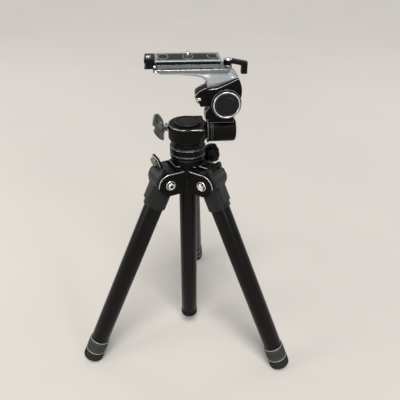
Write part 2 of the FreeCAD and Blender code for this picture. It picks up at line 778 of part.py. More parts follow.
for leg, azimuth in LEGS.items():
    make_leg(leg, azimuth)


# Pan base, measured from its foot on the head seat
PAN_BASE = chain(DECK, shift(z=SEAT_TOP))
STUD_BORE_TOP = d.head_stud_length + d.side_gap
turned("pan_base", PAN_BASE,
       [(d.head_stud_radius + d.seat_play, 0), (d.head_seat_radius, 0), (d.head_seat_radius, d.pan_base_height),
        (d.pan_boss_radius, d.pan_base_height), (d.pan_boss_radius, d.pan_base_height + d.pan_boss_height),
        (d.pan_spindle_radius + d.seat_play, d.pan_base_height + d.pan_boss_height),
        (d.pan_spindle_radius + d.seat_play, STUD_BORE_TOP), (d.head_stud_radius + d.seat_play, STUD_BORE_TOP)],
       chamfers=[(d.head_seat_radius, 0, 0.6), (d.head_seat_radius, d.pan_base_height, 0.9)])
ring("pan_washer", PAN_BASE, d.pan_washer_inner, d.pan_washer_radius, d.pan_base_height,
     d.pan_base_height + d.pan_washer_thickness)
HOUSING_TOP = d.pan_base_height + d.pan_washer_thickness + d.pan_height
SPINDLE_SEAT = HOUSING_TOP - d.pan_recess_depth + d.side_gap
turned("pan_spindle", PAN_BASE,
       [(0, STUD_BORE_TOP + 0.4), (d.pan_spindle_radius, STUD_BORE_TOP + 0.4),
        (d.pan_spindle_radius, SPINDLE_SEAT), (d.pan_spindle_flange, SPINDLE_SEAT),
        (d.pan_spindle_flange, SPINDLE_SEAT + 2.5), (0, SPINDLE_SEAT + 2.5)])


def pan_housing_shape():
    """A round foot that flares into a D with a straight front and a flat right end."""
    foot = -d.pan_height
    flat = block(0, d.pan_corner_x, -d.pan_corner_y, d.pan_corner_y, foot, 0)
    outline = rod(d.pan_top_radius, foot, 0, Z).fuse(flat)
    corner = math.hypot(v(d.pan_corner_x), v(d.pan_corner_y)) + 1
    flare_foot = foot + d.pan_foot_height
    flare_top = flare_foot + d.pan_flare_height
    spread = [(0, foot), (d.pan_foot_radius, foot), (d.pan_foot_radius, flare_foot), (corner, flare_top),
              (corner, 1), (0, 1)]
    corners = [Vector(v(r), 0, v(z)) for r, z in spread]
    limit = Part.Face(Part.makePolygon(corners + corners[:1])).revolve(Vector(), Z, 360)
    body = outline.common(limit).removeSplitter()
    rim = [edge for edge in body.Edges if abs(edge.BoundBox.ZMin) < 1e-3 and edge.BoundBox.ZLength < 1e-3]
    body = body.makeChamfer(v(d.pan_chamfer), rim)
    neck = rod(d.barrel_neck_radius, d.pan_corner_x - 1, d.barrel_start - d.side_gap, X,
               Vector(0, 0, -v(d.barrel_drop)))
    body = body.fuse(neck)
    boss_room = d.pan_boss_height + d.side_gap - d.pan_washer_thickness
    body = body.cut(rod(d.pan_boss_radius + d.side_gap, foot - 1, foot + boss_room, Z))
    body = body.cut(rod(d.pan_spindle_radius + d.side_gap, foot - 1, 1, Z))
    body = body.cut(rod(d.pan_recess_radius, -d.pan_recess_depth, 1, Z))
    screw_axis = Vector(0, 0, -v(d.wing_drop))
    body = body.cut(rod(d.wing_screw_radius + d.seat_play, d.wing_screw_start - 0.5, d.pan_top_radius + 1,
                        -X, screw_axis))
    spindle_axis = Vector(0, 0, -v(d.barrel_drop))
    return body.cut(rod(d.side_spindle_radius + d.seat_play, d.side_spindle_root, d.barrel_start + 1, X,
                        spindle_axis))


solid("pan_housing", HEAD, pan_housing_shape())
CAP_PLUG_RADIUS = d.pan_recess_radius - d.seat_play
turned("pan_cap", HEAD,
       [(0, -d.pan_cap_plug), (CAP_PLUG_RADIUS, -d.pan_cap_plug), (CAP_PLUG_RADIUS, 0), (d.pan_cap_radius, 0),
        (d.pan_cap_radius, d.pan_cap_height), (d.pan_cap_radius - 1.8, d.pan_cap_height),
        (d.pan_cap_radius - 2.2, d.pan_cap_height - 0.8), (0, d.pan_cap_height - 0.2)],
       chamfers=[(d.pan_cap_radius, d.pan_cap_height, 0.6)])

# Wing screw, along -X of the head, with its knob
WING = chain(HEAD, shift(z=-d.wing_drop), turn(Y, -90))
COLLAR_FOOT = d.pan_top_radius + d.wing_collar_gap
NECK_FOOT = COLLAR_FOOT + d.wing_collar_length
HUB_FOOT = NECK_FOOT + d.wing_hub_gap
WING_TIP = HUB_FOOT + d.wing_hub_length * 0.6
turned("wing_screw", WING,
       [(0, d.wing_screw_start), (d.wing_screw_radius, d.wing_screw_start), (d.wing_screw_radius, COLLAR_FOOT),
        (d.wing_collar_radius, COLLAR_FOOT), (d.wing_collar_radius, NECK_FOOT),
        (d.wing_neck_radius, NECK_FOOT), (d.wing_neck_radius, HUB_FOOT - d.seat_play),
        (d.wing_screw_radius, HUB_FOOT - d.seat_play), (d.wing_screw_radius, WING_TIP), (0, WING_TIP)],
       chamfers=[(d.wing_collar_radius, COLLAR_FOOT, 0.4), (d.wing_collar_radius, NECK_FOOT, 0.4)])


def wing_shape():
    """A hub with two blades. The frame has its Z along the screw and X up."""
    high = d.wing_half_height
    near = HUB_FOOT
    far = near + d.wing_hub_length
    upper = [(0, near + 1), (high * 0.55, near + 2.4), (high, near + 5.4), (high, far), (high * 0.4, far),
             (0, far - 1)]
    lower = [(0, far - 1), (-high * 0.45, far), (-high, near + 9), (-high, near + 3.2),
             (-high * 0.5, near + 2.6), (0, near + 1)]
    blades = side_slab(upper, d.wing_half_thickness).fuse(side_slab(lower, d.wing_half_thickness))
    blades = blades.removeSplitter()
    blades = dress(blades, d.wing_round, on_side(d.wing_half_thickness))
    hub = rod(d.wing_hub_radius, near, far - 1.5, Z)
    body = blades.fuse(hub)
    return body.cut(rod(d.wing_screw_radius + d.seat_play, near - 1, WING_TIP + 0.3, Z))


solid("wing_knob", WING, wing_shape())

# Side tilt: spindle along +X of the head, barrel that turns on it and the bracket's tongue
SIDE = chain(HEAD, shift(z=-d.barrel_drop), turn(Y, 90))
turned("side_tilt_spindle", SIDE,
       [(0, d.side_spindle_root + 0.3), (d.side_spindle_radius, d.side_spindle_root + 0.3),
        (d.side_spindle_radius, d.side_spindle_tip), (0, d.side_spindle_tip)])


def side_body_shape():
    """The barrel about X and the tongue that rises from it to the tilt axle."""
    axis_drop = -v(d.barrel_drop)
    barrel = rod(d.barrel_radius, d.barrel_start, d.barrel_end, X, Vector(0, 0, axis_drop))
    barrel = dress(barrel, d.barrel_round, lambda edge: abs(edge.BoundBox.XMin - v(d.barrel_end)) < 1e-3
                   and edge.BoundBox.XLength < 1e-3)
    centre = (v(d.tilt_axis_x), v(d.tilt_axis_rise))
    left = centre[0] - v(d.tongue_left)
    right = centre[0] + v(d.tongue_right)
    top = v(d.tongue_top_radius)
    foot = v(d.barrel_start) + 0.2
    tongue = [(foot, axis_drop + 4), (right, axis_drop + 4), (right, axis_drop + 16),
              (centre[0] + top, centre[1]), (centre[0], centre[1] + top, centre[0] - top, centre[1]),
              (left + 3.1, centre[1] - 10.2), (left, centre[1] - 13.1), (left, v(d.tongue_clear + d.tongue_step)),
              (v(d.pan_top_radius + d.tongue_gap), v(d.tongue_clear + d.tongue_step)),
              (v(d.pan_top_radius + d.tongue_gap), v(d.tongue_clear)), (foot, v(d.tongue_clear))]
    web = side_slab(tongue, d.tongue_half_width)
    body = barrel.fuse(web)
    axle_point = Vector(centre[0], 0, centre[1])
    wide = v(d.tongue_half_width) + 1
    body = body.cut(rod(d.tilt_axle_radius + d.seat_play, -wide, wide, Y, axle_point))
    spindle = rod(d.side_spindle_radius + d.seat_play, d.barrel_start - 1, d.side_spindle_tip + 0.3, X,
                  Vector(0, 0, axis_drop))
    return body.cut(spindle)


solid("side_tilt_body", HEAD, side_body_shape())

# Tilt axle along Y with the drum's boss, ring and disc at the front and a cover at the back
AXLE = chain(TILT, turn(X, 90))
SHELL_FACE = d.shell_half_width + d.side_gap
ring("tilt_axle", AXLE, 0, d.tilt_axle_radius, -SHELL_FACE, SHELL_FACE)
RING_FOOT = SHELL_FACE + d.drum_boss_thickness
turned("drum_ring", AXLE,
       [(0, SHELL_FACE), (d.drum_boss_radius, SHELL_FACE), (d.drum_boss_radius, RING_FOOT),
        (d.drum_ring_radius, RING_FOOT), (d.drum_ring_radius, RING_FOOT + d.drum_ring_thickness),
        (d.drum_ring_inner, RING_FOOT + d.drum_ring_thickness), (d.drum_ring_inner, RING_FOOT), (0, RING_FOOT)],
       chamfers=[(d.drum_boss_radius, RING_FOOT, 0.6),
                 (d.drum_ring_radius, RING_FOOT + d.drum_ring_thickness, 0.8),
                 (d.drum_ring_inner, RING_FOOT + d.drum_ring_thickness, 0.6)])
DISC_RADIUS = d.drum_ring_inner - d.seat_play
turned("drum_disc", AXLE,
       [(0, RING_FOOT), (DISC_RADIUS, RING_FOOT), (DISC_RADIUS, RING_FOOT + d.drum_disc_thickness - 0.6),
        (DISC_RADIUS * 0.7, RING_FOOT + d.drum_disc_thickness - 0.1), (0, RING_FOOT + d.drum_disc_thickness)])
turned("tilt_axle_cover", AXLE,
       [(0, -SHELL_FACE - d.drum_cover_thickness), (d.drum_cover_radius, -SHELL_FACE - d.drum_cover_thickness),
        (d.drum_cover_radius, -SHELL_FACE), (0, -SHELL_FACE)],
       chamfers=[(d.drum_cover_radius, -SHELL_FACE - d.drum_cover_thickness, 0.8)])

# Outline of the tilting casting in X and Z from the tilt axle
SEAM = [(-22.6, 15.9), (-11.5, 17.0), (-0.4, 21.6), (13.1, 28.3)]
LUG_TIP = (-35.2, 7.2)
LUG_BOTTOM = (-28.8, -6.2)


def tilt_shell_shape():
    """Two cheeks about the axle joined by the handle lug, under the seam."""
    radius = v(d.shell_radius)
    down = math.radians(250)
    low_left = (radius * math.cos(math.radians(190)), radius * math.sin(math.radians(190)))
    right = (radius * math.cos(math.radians(20)), radius * math.sin(math.radians(20)))
    under = (radius * math.cos(down), radius * math.sin(down))
    cheek = [SEAM[0], low_left, under + right, (16.7, 18.7) + SEAM[3], SEAM[2], SEAM[1]]
    half = d.shell_half_width
    body = side_slab(cheek, half)
    lug = [SEAM[0], (LUG_TIP[0] + 1.2, LUG_TIP[1] + 3.2), LUG_TIP, LUG_BOTTOM, (-15.0, -5.0), (-11.0, 14.0)]
    lug = dress(side_slab(lug, d.lug_half_width), 1.2, on_side(d.lug_half_width))
    body = body.fuse(lug)
    inner = v(d.tongue_half_width + d.side_gap)
    swing = rod(d.shell_slot_radius, -inner, inner, Y)
    sweep = side_slab([(-60, -19.6), (-22.0, -1.7), (0, 0), (60, 0), (60, -60), (-60, -60)], inner)
    body = body.cut(swing).cut(sweep)
    body = body.cut(rod(d.tilt_axle_radius + d.seat_play, -half - 1, half + 1, Y))
    mouth, inwards = socket_line()
    return body.cut(rod(d.handle_insert_radius, -2, d.handle_socket_depth, inwards, mouth))


def socket_line():
    """The handle socket's mouth on the lug's slanted face, and the way in."""
    tip = Vector(LUG_TIP[0], 0, LUG_TIP[1])
    bottom = Vector(LUG_BOTTOM[0], 0, LUG_BOTTOM[1])
    face = bottom - tip
    inwards = Vector(-face.z, 0, face.x).normalize()
    return (tip + bottom) * 0.5, inwards


solid("tilt_shell", TILT, tilt_shell_shape())


def arm_shape():
    """The cast platform arm: a thin beam that curves down into the seam."""
    top = v(d.arm_top)
    gap = v(d.seam_gap)
    outline = [(-v(d.arm_tip), top), (-v(d.arm_tip), top - 1.8), (-53.2, 34.2), (-36.7, 32.2),
               (-26.0, 27.9, -21.4, 19.6), (SEAM[0][0] + 0.9, SEAM[0][1] + gap + 0.2),
               (SEAM[1][0], SEAM[1][1] + gap), (SEAM[2][0], SEAM[2][1] + gap),
               (SEAM[3][0] + 0.4, SEAM[3][1] + gap), (9.6, 32.4, -0.6, top)]
    body = side_slab(outline, d.arm_half_width)
    nose = v(d.arm_nose)
    shoulders = block(-d.arm_tip - 1, nose, -d.arm_half_width, d.arm_half_width, 0, d.arm_top + 1)
    shoulders = dress(shoulders, d.arm_shoulder_round, lambda edge: abs(edge.BoundBox.XMin - nose) < 1e-3
                      and edge.BoundBox.ZLength > v(d.arm_top))
    return body.common(shoulders)


solid("platform_arm", TILT, arm_shape())
mouth, inwards = socket_line()
ring("handle_socket_insert", chain(TILT, Placement(mouth, Rotation(Z, -inwards))), d.handle_socket_radius,
     d.handle_insert_radius - d.seat_play, -d.handle_socket_depth + 0.1, d.handle_insert_proud,
     chamfers=[(d.handle_insert_radius - d.seat_play, d.handle_insert_proud, 0.4)])

# Quick release clamp, measured from the tilt axle
CLAMP_FLOOR = d.arm_top + d.clamp_floor
RAIL_TOP = CLAMP_FLOOR + d.clamp_rail_height
CHANNEL_FLOOR = RAIL_TOP - d.clamp_channel_depth
PLATE_FOOT = RAIL_TOP + d.plate_gap
PLATE_TOP = PLATE_FOOT + d.plate_thickness
RAIL_RIGHT = -d.clamp_rail_right


def clamp_shape():
    """Base plate with two rails along its channel, and the lever's boss."""
    left = -(d.plate_left - d.plate_inset)
    base = block(-d.clamp_left, d.clamp_right, -d.clamp_half_width, d.clamp_half_width, d.arm_top, CLAMP_FLOOR)
    base = dress(base, d.clamp_round, lambda edge: edge.BoundBox.ZLength > v(d.clamp_floor) - 1e-3)
    rails = block(left, RAIL_RIGHT, -d.clamp_half_width + 0.6, d.clamp_half_width - 0.6, CLAMP_FLOOR, RAIL_TOP)
    channel = d.clamp_channel_half_width
    rails = rails.cut(block(left - 1, d.clamp_right, -channel, channel, CHANNEL_FLOOR, RAIL_TOP + 1))
    boss = rod(d.lever_boss_radius, CLAMP_FLOOR, CLAMP_FLOOR + d.lever_boss_height, Z,
               Vector(v(d.lever_axis_x), 0, 0))
    boss_base = rod(d.lever_boss_radius + 0.8, d.arm_top, CLAMP_FLOOR, Z, Vector(v(d.lever_axis_x), 0, 0))
    body = base.fuse(rails).fuse(boss).fuse(boss_base)
    return body.cut(rod(d.lever_pin_radius + d.seat_play, d.arm_top + 0.4, RAIL_TOP + 5, Z,
                        Vector(v(d.lever_axis_x), 0, 0)))


solid("clamp_base", TILT, clamp_shape())


SCREW_X = -(d.plate_left + d.plate_right) / 2


def plate_shape():
    """Chamfered plate with a tongue that drops into the clamp's channel."""
    half = d.plate_half_width
    plate = block(-d.plate_left, -d.plate_right, -half, half, PLATE_FOOT, PLATE_TOP)
    top = v(PLATE_TOP)
    rim = [edge for edge in plate.Edges if abs(edge.BoundBox.ZMin - top) < 1e-3]
    plate = plate.makeChamfer(v(d.plate_chamfer), rim)
    tongue_half = d.plate_tongue_half_width
    tongue = block(-d.plate_left + d.plate_inset, RAIL_RIGHT - d.side_gap, -tongue_half, tongue_half,
                   CHANNEL_FLOOR + d.side_gap, PLATE_FOOT)
    body = plate.fuse(tongue)
    inset = d.plate_chamfer + d.pad_inset
    pad_room = block(-d.plate_left + inset, -d.plate_right - inset, -half + inset, half - inset,
                     PLATE_TOP - d.pad_thickness + d.pad_proud, PLATE_TOP + 1)
    body = body.cut(pad_room)
    centre = Vector(v(SCREW_X), 0, 0)
    body = body.cut(rod(d.camera_screw_radius + 0.08, CHANNEL_FLOOR, PLATE_TOP + 1, Z, centre))
    head_room = CHANNEL_FLOOR + d.side_gap * 2 + d.camera_screw_head_height
    return body.cut(rod(d.camera_screw_head_radius + d.side_gap, CHANNEL_FLOOR, head_room + d.side_gap, Z, centre))


solid("release_plate", TILT, plate_shape())
inset = d.plate_chamfer + d.pad_inset + d.seat_play
pad = block(-d.plate_left + inset, -d.plate_right - inset, -d.plate_half_width + inset,
            d.plate_half_width - inset, PLATE_TOP - d.pad_thickness + d.pad_proud, PLATE_TOP + d.pad_proud)
pad = pad.cut(rod(d.camera_screw_radius + 0.5, PLATE_FOOT, PLATE_TOP + 2, Z, Vector(v(SCREW_X), 0, 0)))
solid("plate_pad", TILT, pad)
SCREW = chain(TILT, shift(x=SCREW_X))
HEAD_FOOT = CHANNEL_FLOOR + d.side_gap * 2
HEAD_TOP = HEAD_FOOT + d.camera_screw_head_height
turned("camera_screw", SCREW,
       [(0, HEAD_FOOT), (d.camera_screw_head_radius, HEAD_FOOT), (d.camera_screw_head_radius, HEAD_TOP),
        (d.camera_screw_neck, HEAD_TOP), (d.camera_screw_neck, PLATE_TOP + d.pad_proud),
        (d.camera_screw_radius, PLATE_TOP + d.pad_proud),
        (d.camera_screw_radius, PLATE_TOP + d.camera_screw_rise),
        (0, PLATE_TOP + d.camera_screw_rise)],
       chamfers=[(d.camera_screw_radius, PLATE_TOP + d.camera_screw_rise, 0.5)])

# Clamp lever about Z, with its pin
LEVER = chain(TILT, shift(x=d.lever_axis_x))
LEVER_FOOT = CLAMP_FLOOR + d.lever_boss_height + d.side_gap
LEVER_TOP = LEVER_FOOT + d.lever_hub_height


def lever_shape():
    """A hub, a flat arm and a tab that drops at its end."""
    half = d.lever_half_width
    hub = rod(d.lever_boss_radius, LEVER_FOOT, LEVER_TOP, Z)
    reach = d.lever_reach
    inner = reach - d.lever_tab_thickness
    tab_top = LEVER_TOP - d.lever_slope
    tab_foot = tab_top - d.lever_tab_height
    arm = [(0, LEVER_FOOT + d.lever_arm_rise), (0, LEVER_TOP), (d.lever_flat, LEVER_TOP), (reach, tab_top),
           (reach, tab_foot), (inner, tab_foot), (inner, tab_top - d.lever_slope),
           (d.lever_flat, LEVER_FOOT + d.lever_arm_rise)]
    arm = side_slab(arm, half)
    arm = dress(arm, 1.0, on_side(half))
    body = hub.fuse(arm)
    return body.cut(rod(d.lever_pin_radius + d.seat_play, LEVER_FOOT - 1, LEVER_TOP + 1, Z))


solid("clamp_lever", LEVER, lever_shape())
turned("lever_pin", LEVER,
       [(0, d.arm_top + 0.5), (d.lever_pin_radius, d.arm_top + 0.5), (d.lever_pin_radius, LEVER_TOP + 0.1),
        (d.lever_pin_head_radius, LEVER_TOP + 0.1),
        (d.lever_pin_head_radius, LEVER_TOP + 0.1 + d.lever_pin_head_height),
        (0, LEVER_TOP + 0.1 + d.lever_pin_head_height)],
       chamfers=[(d.lever_pin_head_radius, LEVER_TOP + 0.1 + d.lever_pin_head_height, 0.4)])

# Plate stop with its release button
STOP_RIGHT = -(d.plate_left + d.side_gap)
STOP_LEFT = STOP_RIGHT - d.stop_length
BUTTON_X = STOP_LEFT + d.stop_length * 0.42
BUTTON_Y = -(d.stop_half_width / 2)


def stop_shape():
    """A block on the clamp's left end with a bore for the button."""
    high = CLAMP_FLOOR + d.stop_height
    body = block(STOP_LEFT, STOP_RIGHT, -d.stop_half_width, d.stop_half_width, CLAMP_FLOOR, high)
    body = dress(body, d.stop_round, lambda edge: edge.BoundBox.ZMax > v(high) - 1e-3)
    notch = block(STOP_LEFT - 1, STOP_LEFT + d.stop_notch, -d.stop_half_width - 1, d.stop_half_width + 1,
                  CLAMP_FLOOR + d.stop_notch, high - d.stop_cap)
    body = body.cut(notch)
    hole = rod(d.button_radius + 0.08, high - d.button_depth - d.button_travel - 0.3, high + 1, Z,
               Vector(v(BUTTON_X), v(BUTTON_Y), 0))
    return body.cut(hole)


solid("plate_stop", TILT, stop_shape())
BUTTON = chain(TILT, shift(x=BUTTON_X, y=BUTTON_Y, z=CLAMP_FLOOR + d.stop_height))
ring("release_button", BUTTON, 0, d.button_radius, -d.button_depth, d.button_rise,
     rounds=[(d.button_radius, d.button_rise, 0.8)])

# Check and write
doc.recompute()
failed = [item.Name for item in doc.Objects if "Invalid" in item.State or "Error" in item.State]
if failed:
    raise RuntimeError("these objects did not recompute: " + ", ".join(failed))
for part in PARTS:
    if part.Shape.isNull() or not part.Shape.isValid() or not part.Shape.Solids:
        raise RuntimeError(part.Label + " has no valid shape")
os.makedirs("parts", exist_ok=True)
for part in PARTS:
    part.Shape.exportStep("parts/" + part.Label + ".step")
print("wrote %d sub-parts, pivot height %.3f mm, column at y %.3f mm" % (len(PARTS), PIVOT_Z, COLUMN_Y))
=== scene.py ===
import json
import math

import bmesh
import bpy
import numpy as np
from bpy.props import FloatProperty, FloatVectorProperty, IntProperty, PointerProperty
from bpy.types import Operator, Panel, PropertyGroup
from mathutils import Matrix, Vector

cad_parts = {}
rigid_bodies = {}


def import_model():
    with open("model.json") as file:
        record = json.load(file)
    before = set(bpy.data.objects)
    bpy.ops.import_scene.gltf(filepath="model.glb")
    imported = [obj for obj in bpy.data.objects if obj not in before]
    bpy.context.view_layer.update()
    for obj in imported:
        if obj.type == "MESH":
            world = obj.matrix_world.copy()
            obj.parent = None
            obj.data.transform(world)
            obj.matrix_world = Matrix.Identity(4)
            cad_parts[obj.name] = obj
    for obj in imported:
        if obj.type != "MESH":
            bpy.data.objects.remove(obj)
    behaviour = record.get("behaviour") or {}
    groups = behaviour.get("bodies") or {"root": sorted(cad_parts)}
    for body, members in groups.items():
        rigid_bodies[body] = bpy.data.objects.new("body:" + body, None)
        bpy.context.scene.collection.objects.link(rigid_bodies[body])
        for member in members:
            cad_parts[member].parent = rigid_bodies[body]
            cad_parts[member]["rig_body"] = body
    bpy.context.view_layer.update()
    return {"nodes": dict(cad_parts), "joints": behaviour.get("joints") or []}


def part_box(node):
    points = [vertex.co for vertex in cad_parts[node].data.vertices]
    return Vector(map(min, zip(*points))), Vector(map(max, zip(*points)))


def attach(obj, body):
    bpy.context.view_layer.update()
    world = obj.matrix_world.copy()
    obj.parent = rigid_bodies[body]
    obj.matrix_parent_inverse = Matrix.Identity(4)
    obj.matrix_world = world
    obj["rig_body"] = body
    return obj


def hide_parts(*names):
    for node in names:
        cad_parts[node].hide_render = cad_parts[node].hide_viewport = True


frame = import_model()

bl_info = {
    "name": "Camera tripod",
    "version": (1, 0, 0),
    "blender": (4, 5, 0),
    "location": "3D View > Sidebar > Tripod",
    "description": "Dresses the packed tripod with detailed surfaces, finishes and a studio",
    "category": "Object",
}

LEGS = ("left", "right", "back")
SIDES = ((-1, "front"), (1, "back"))
JOINTS = {joint["name"]: joint for joint in frame["joints"]}
COLUMN = JOINTS["pan_turn"]["pos_m"]
MM = 0.001
TUBE_WALL = 1.25
RIDGE = -0.15
SAME_POINT = 1e-6
NO_MORE_POINTS = 1000.0


# Places in the row frame

def square_place(x, y, origin):
    """A 4x4 place with these X and Y axes and this origin."""
    place = np.eye(4)
    place[:3, 0], place[:3, 1], place[:3, 2], place[:3, 3] = x, y, np.cross(x, y), origin
    return place


def along(joint, x_hint=(0, 0, 1)):
    """A place on a joint: origin on the joint, Z along its axis, X nearest to the hint."""
    z = np.array(JOINTS[joint]["axis"], float)
    z /= np.linalg.norm(z)
    hint = np.array(x_hint, float)
    x = hint - z * hint.dot(z)
    x /= np.linalg.norm(x)
    return square_place(x, np.cross(z, x), JOINTS[joint].get("pos_m", (0, 0, 0)))


def fork_place(leg):
    """A place on a leg's pivot: X outwards and level, Y along the pivot bolt, Z up."""
    y = along(leg + "_leg_fold")[:3, 2]
    return square_place(np.cross(y, (0, 0, 1)), y, JOINTS[leg + "_leg_fold"]["pos_m"])


def head_place(joint):
    """A place on a joint of the head with the head's own axes: X to the right, Z up."""
    return square_place(JOINTS["side_tilt"]["axis"], JOINTS["tilt"]["axis"], JOINTS[joint]["pos_m"])


def column_place(height):
    """A place on the column's middle line, at a height in metres and square to the frame."""
    return square_place((1, 0, 0), (0, 1, 0), (COLUMN[0], COLUMN[1], height))


def local_range(node, place):
    """The lowest and highest corner of a CAD node in a place's own axes, in mm."""
    mesh = frame["nodes"][node].data
    points = np.zeros(len(mesh.vertices) * 3, np.float32)
    mesh.vertices.foreach_get("co", points)
    points = (points.reshape(-1, 3) - place[:3, 3]) @ place[:3, :3]
    return points.min(0) / MM, points.max(0) / MM


# Lines and surfaces

def put(points, place):
    """Points in mm on a place's own axes, as row frame metres."""
    return points * MM @ place[:3, :3].T + place[:3, 3]


def full_turn(count):
    """That many even angles round one turn."""
    return np.linspace(0, 2 * math.pi, count, endpoint=False)


def rounded(corners, steps):
    """A profile of (radius, height, round) corners as one smooth line.

    Each corner with a round becomes a quadratic curve that starts and ends that far along its edges."""
    corners = np.array(corners, float)
    line = []
    for index, (radius, height, size) in enumerate(corners):
        point = np.array([radius, height])
        if size <= 0 or index in (0, len(corners) - 1):
            line.append(point[None])
            continue
        before, after = corners[index - 1, :2] - point, corners[index + 1, :2] - point
        start = point + before / np.linalg.norm(before) * size
        end = point + after / np.linalg.norm(after) * size
        t = np.linspace(0, 1, steps + 1)[:, None]
        line.append(start * (1 - t) ** 2 + point * 2 * t * (1 - t) + end * t ** 2)
    return np.concatenate(line)


def spaced(line, step=1.0, count=0):
    """A line with a point at least every step mm, or as that many evenly spaced points."""
    marks = np.concatenate([[0], np.cumsum(np.linalg.norm(np.diff(line, axis=0), axis=1))])
    where = np.linspace(0, marks[-1], count)
    if not count:
        where = np.union1d(marks, np.arange(0, marks[-1], step))
    return np.stack([np.interp(where, marks, column) for column in line.T], 1)


def smooth_line(corners, count):
    """A line through (x, z, round) corners as that many evenly spaced points."""
    return spaced(rounded(corners, 8), count=count)


def straight_line(corners, count):
    """A line of straight edges with that many points on each, and none of them twice."""
    line = np.concatenate([np.linspace(a, b, count) for a, b in zip(corners[:-1], corners[1:])])
    apart = np.linalg.norm(np.diff(line, axis=0), axis=1) > SAME_POINT
    return line[np.insert(apart, 0, True)]


def swept(reach, height, angle, place):
    """Rows of (reach, height) swept through the angles round Z of the place."""
    points = [reach * np.cos(angle), reach * np.sin(angle), height + 0 * angle]
    return put(np.stack(points, -1), place)


def turned(place, corners, steps=6, step=1.0, segments=96, ripple=None):
    """A surface of revolution from a profile of (radius, height, round) corners.

    ripple(angle, height, radius) gives an offset to the radius, for ribs, scallops and knurls."""
    profile = spaced(rounded(corners, steps), step)
    angle = full_turn(segments)
    reach, height = profile[:, :1], profile[:, 1:]
    if ripple:
        reach = reach + ripple(angle, height, reach)
    return swept(np.maximum(reach, 0), height, angle, place)


def hoop(place, corners, segments=96):
    """A closed ring: an outline of (radius, height, round) corners swept round Z of the place."""
    outline = rounded(corners[-1:] + corners + corners[:1], 3)[1:-1]
    return swept(outline[:, :1], outline[:, 1:], full_turn(segments), place)


def beam(place, upper, lower, half_width, corner_round, crown, corner_steps=6, side_steps=1):
    """A cast beam between two lines in X and Z.

    Each section is a rounded rectangle whose sides bulge along Y by the crown, up to a ridge below mid
    height, and fall away faster under it."""
    middle, rise = (upper + lower) / 2, (upper - lower) / 2
    high = np.linalg.norm(rise, axis=1)[:, None]
    up = rise / np.maximum(high, SAME_POINT)
    crown = np.broadcast_to(crown, high.shape[:1])[:, None]
    wide = np.broadcast_to(half_width, high.shape[:1])[:, None] - crown
    size = np.minimum(corner_round, np.minimum(high, wide) * 0.85)
    arc = np.linspace(0, math.pi / 2, corner_steps)
    level = np.linspace(1, -1, side_steps + 2)[1:-1]
    corner, flank = np.ones(corner_steps), np.ones(side_steps)
    pi = math.pi
    turn = np.concatenate([arc, arc + pi / 2, flank * pi, arc + pi, arc + pi * 1.5, flank * 0])
    side = np.concatenate([corner, -corner, -flank, -corner, corner, flank])
    share = np.concatenate([corner, corner, level, -corner, -corner, -level])
    across = side * (wide - size) + size * np.cos(turn)
    above = share * (high - size) + size * np.sin(turn)
    past_ridge = above / np.maximum(high, SAME_POINT) - RIDGE
    drop = np.where(past_ridge > 0, 0.7 * (past_ridge / (1 - RIDGE)) ** 2,
                    1.3 * (np.abs(past_ridge) / (1 + RIDGE)) ** 1.4)
    across += side * crown * (1 - drop)
    points = np.stack([middle[:, :1] + up[:, :1] * above, across, middle[:, 1:] + up[:, 1:] * above], -1)
    return put(points[:, ::-1], place)


def slab(place, low, high, half_width, corner_round, corner_steps=6):
    """A flat slab from one (x, z) corner to the other, its ends drawn in to close them softly."""
    x = np.linspace(low[0], high[0], 40)
    inset = np.zeros(40)
    inset[[0, -1]] = 0.25
    upper, lower = np.stack([x, high[1] - inset], 1), np.stack([x, low[1] + inset], 1)
    return beam(place, upper, lower, half_width, corner_round, 0.0, corner_steps)


def squared(wave, power):
    """A sine or cosine raised to a power, with its sign kept."""
    return np.sign(wave) * np.abs(wave) ** power


def pillow(place, centre, half, power=0.45):
    """A soft block: a superellipsoid, whose faces flatten as the power falls."""
    climb = np.linspace(-math.pi / 2, math.pi / 2, 22)[1:-1, None]
    turn = full_turn(40)
    out = squared(np.cos(climb), power)
    points = np.stack([out * squared(np.cos(turn), power), out * squared(np.sin(turn), power),
                       squared(np.sin(climb), power) + 0 * turn], -1)
    return put(np.array(centre) + points * np.array(half), place)


def six_sided(flat_radius):
    """A ripple that trims a turned head to a hexagon: the radius never passes the flats."""
    def trim(angle, height, radius):
        reach = flat_radius / np.cos(np.mod(angle, math.pi / 3) - math.pi / 6)
        return np.minimum(reach - radius, 0)
    return trim


# Pieces

def grid_mesh(name, points, loop):
    """A mesh from a (rows, columns, 3) grid whose columns wrap round.

    Each end row closes to its middle point, or with loop the last row joins the first."""
    rows, columns = points.shape[:2]
    left = np.arange(rows * columns).reshape(rows, columns)
    right = np.roll(left, -1, axis=1)
    if loop:
        left, right = np.concatenate([left, left[:1]]), np.concatenate([right, right[:1]])
    quads = np.stack([left[:-1], right[:-1], right[1:], left[1:]], -1).reshape(-1, 4)
    vertices = points.reshape(-1, 3)
    faces = quads.tolist()
    if not loop:
        vertices = np.concatenate([vertices, points[:1].mean(1), points[-1:].mean(1)])
        low, high = rows * columns, rows * columns + 1
        first = np.stack([right[0], left[0], np.full(columns, low)], -1)
        last = np.stack([left[-1], right[-1], np.full(columns, high)], -1)
        faces += first.tolist() + last.tolist()
    mesh = bpy.data.meshes.new(name)
    mesh.from_pydata(vertices.tolist(), [], faces)
    mesh.update()
    return mesh


def new_object(name, data):
    """An object with this data, in the scene."""
    made = bpy.data.objects.new(name, data)
    bpy.context.scene.collection.objects.link(made)
    return made


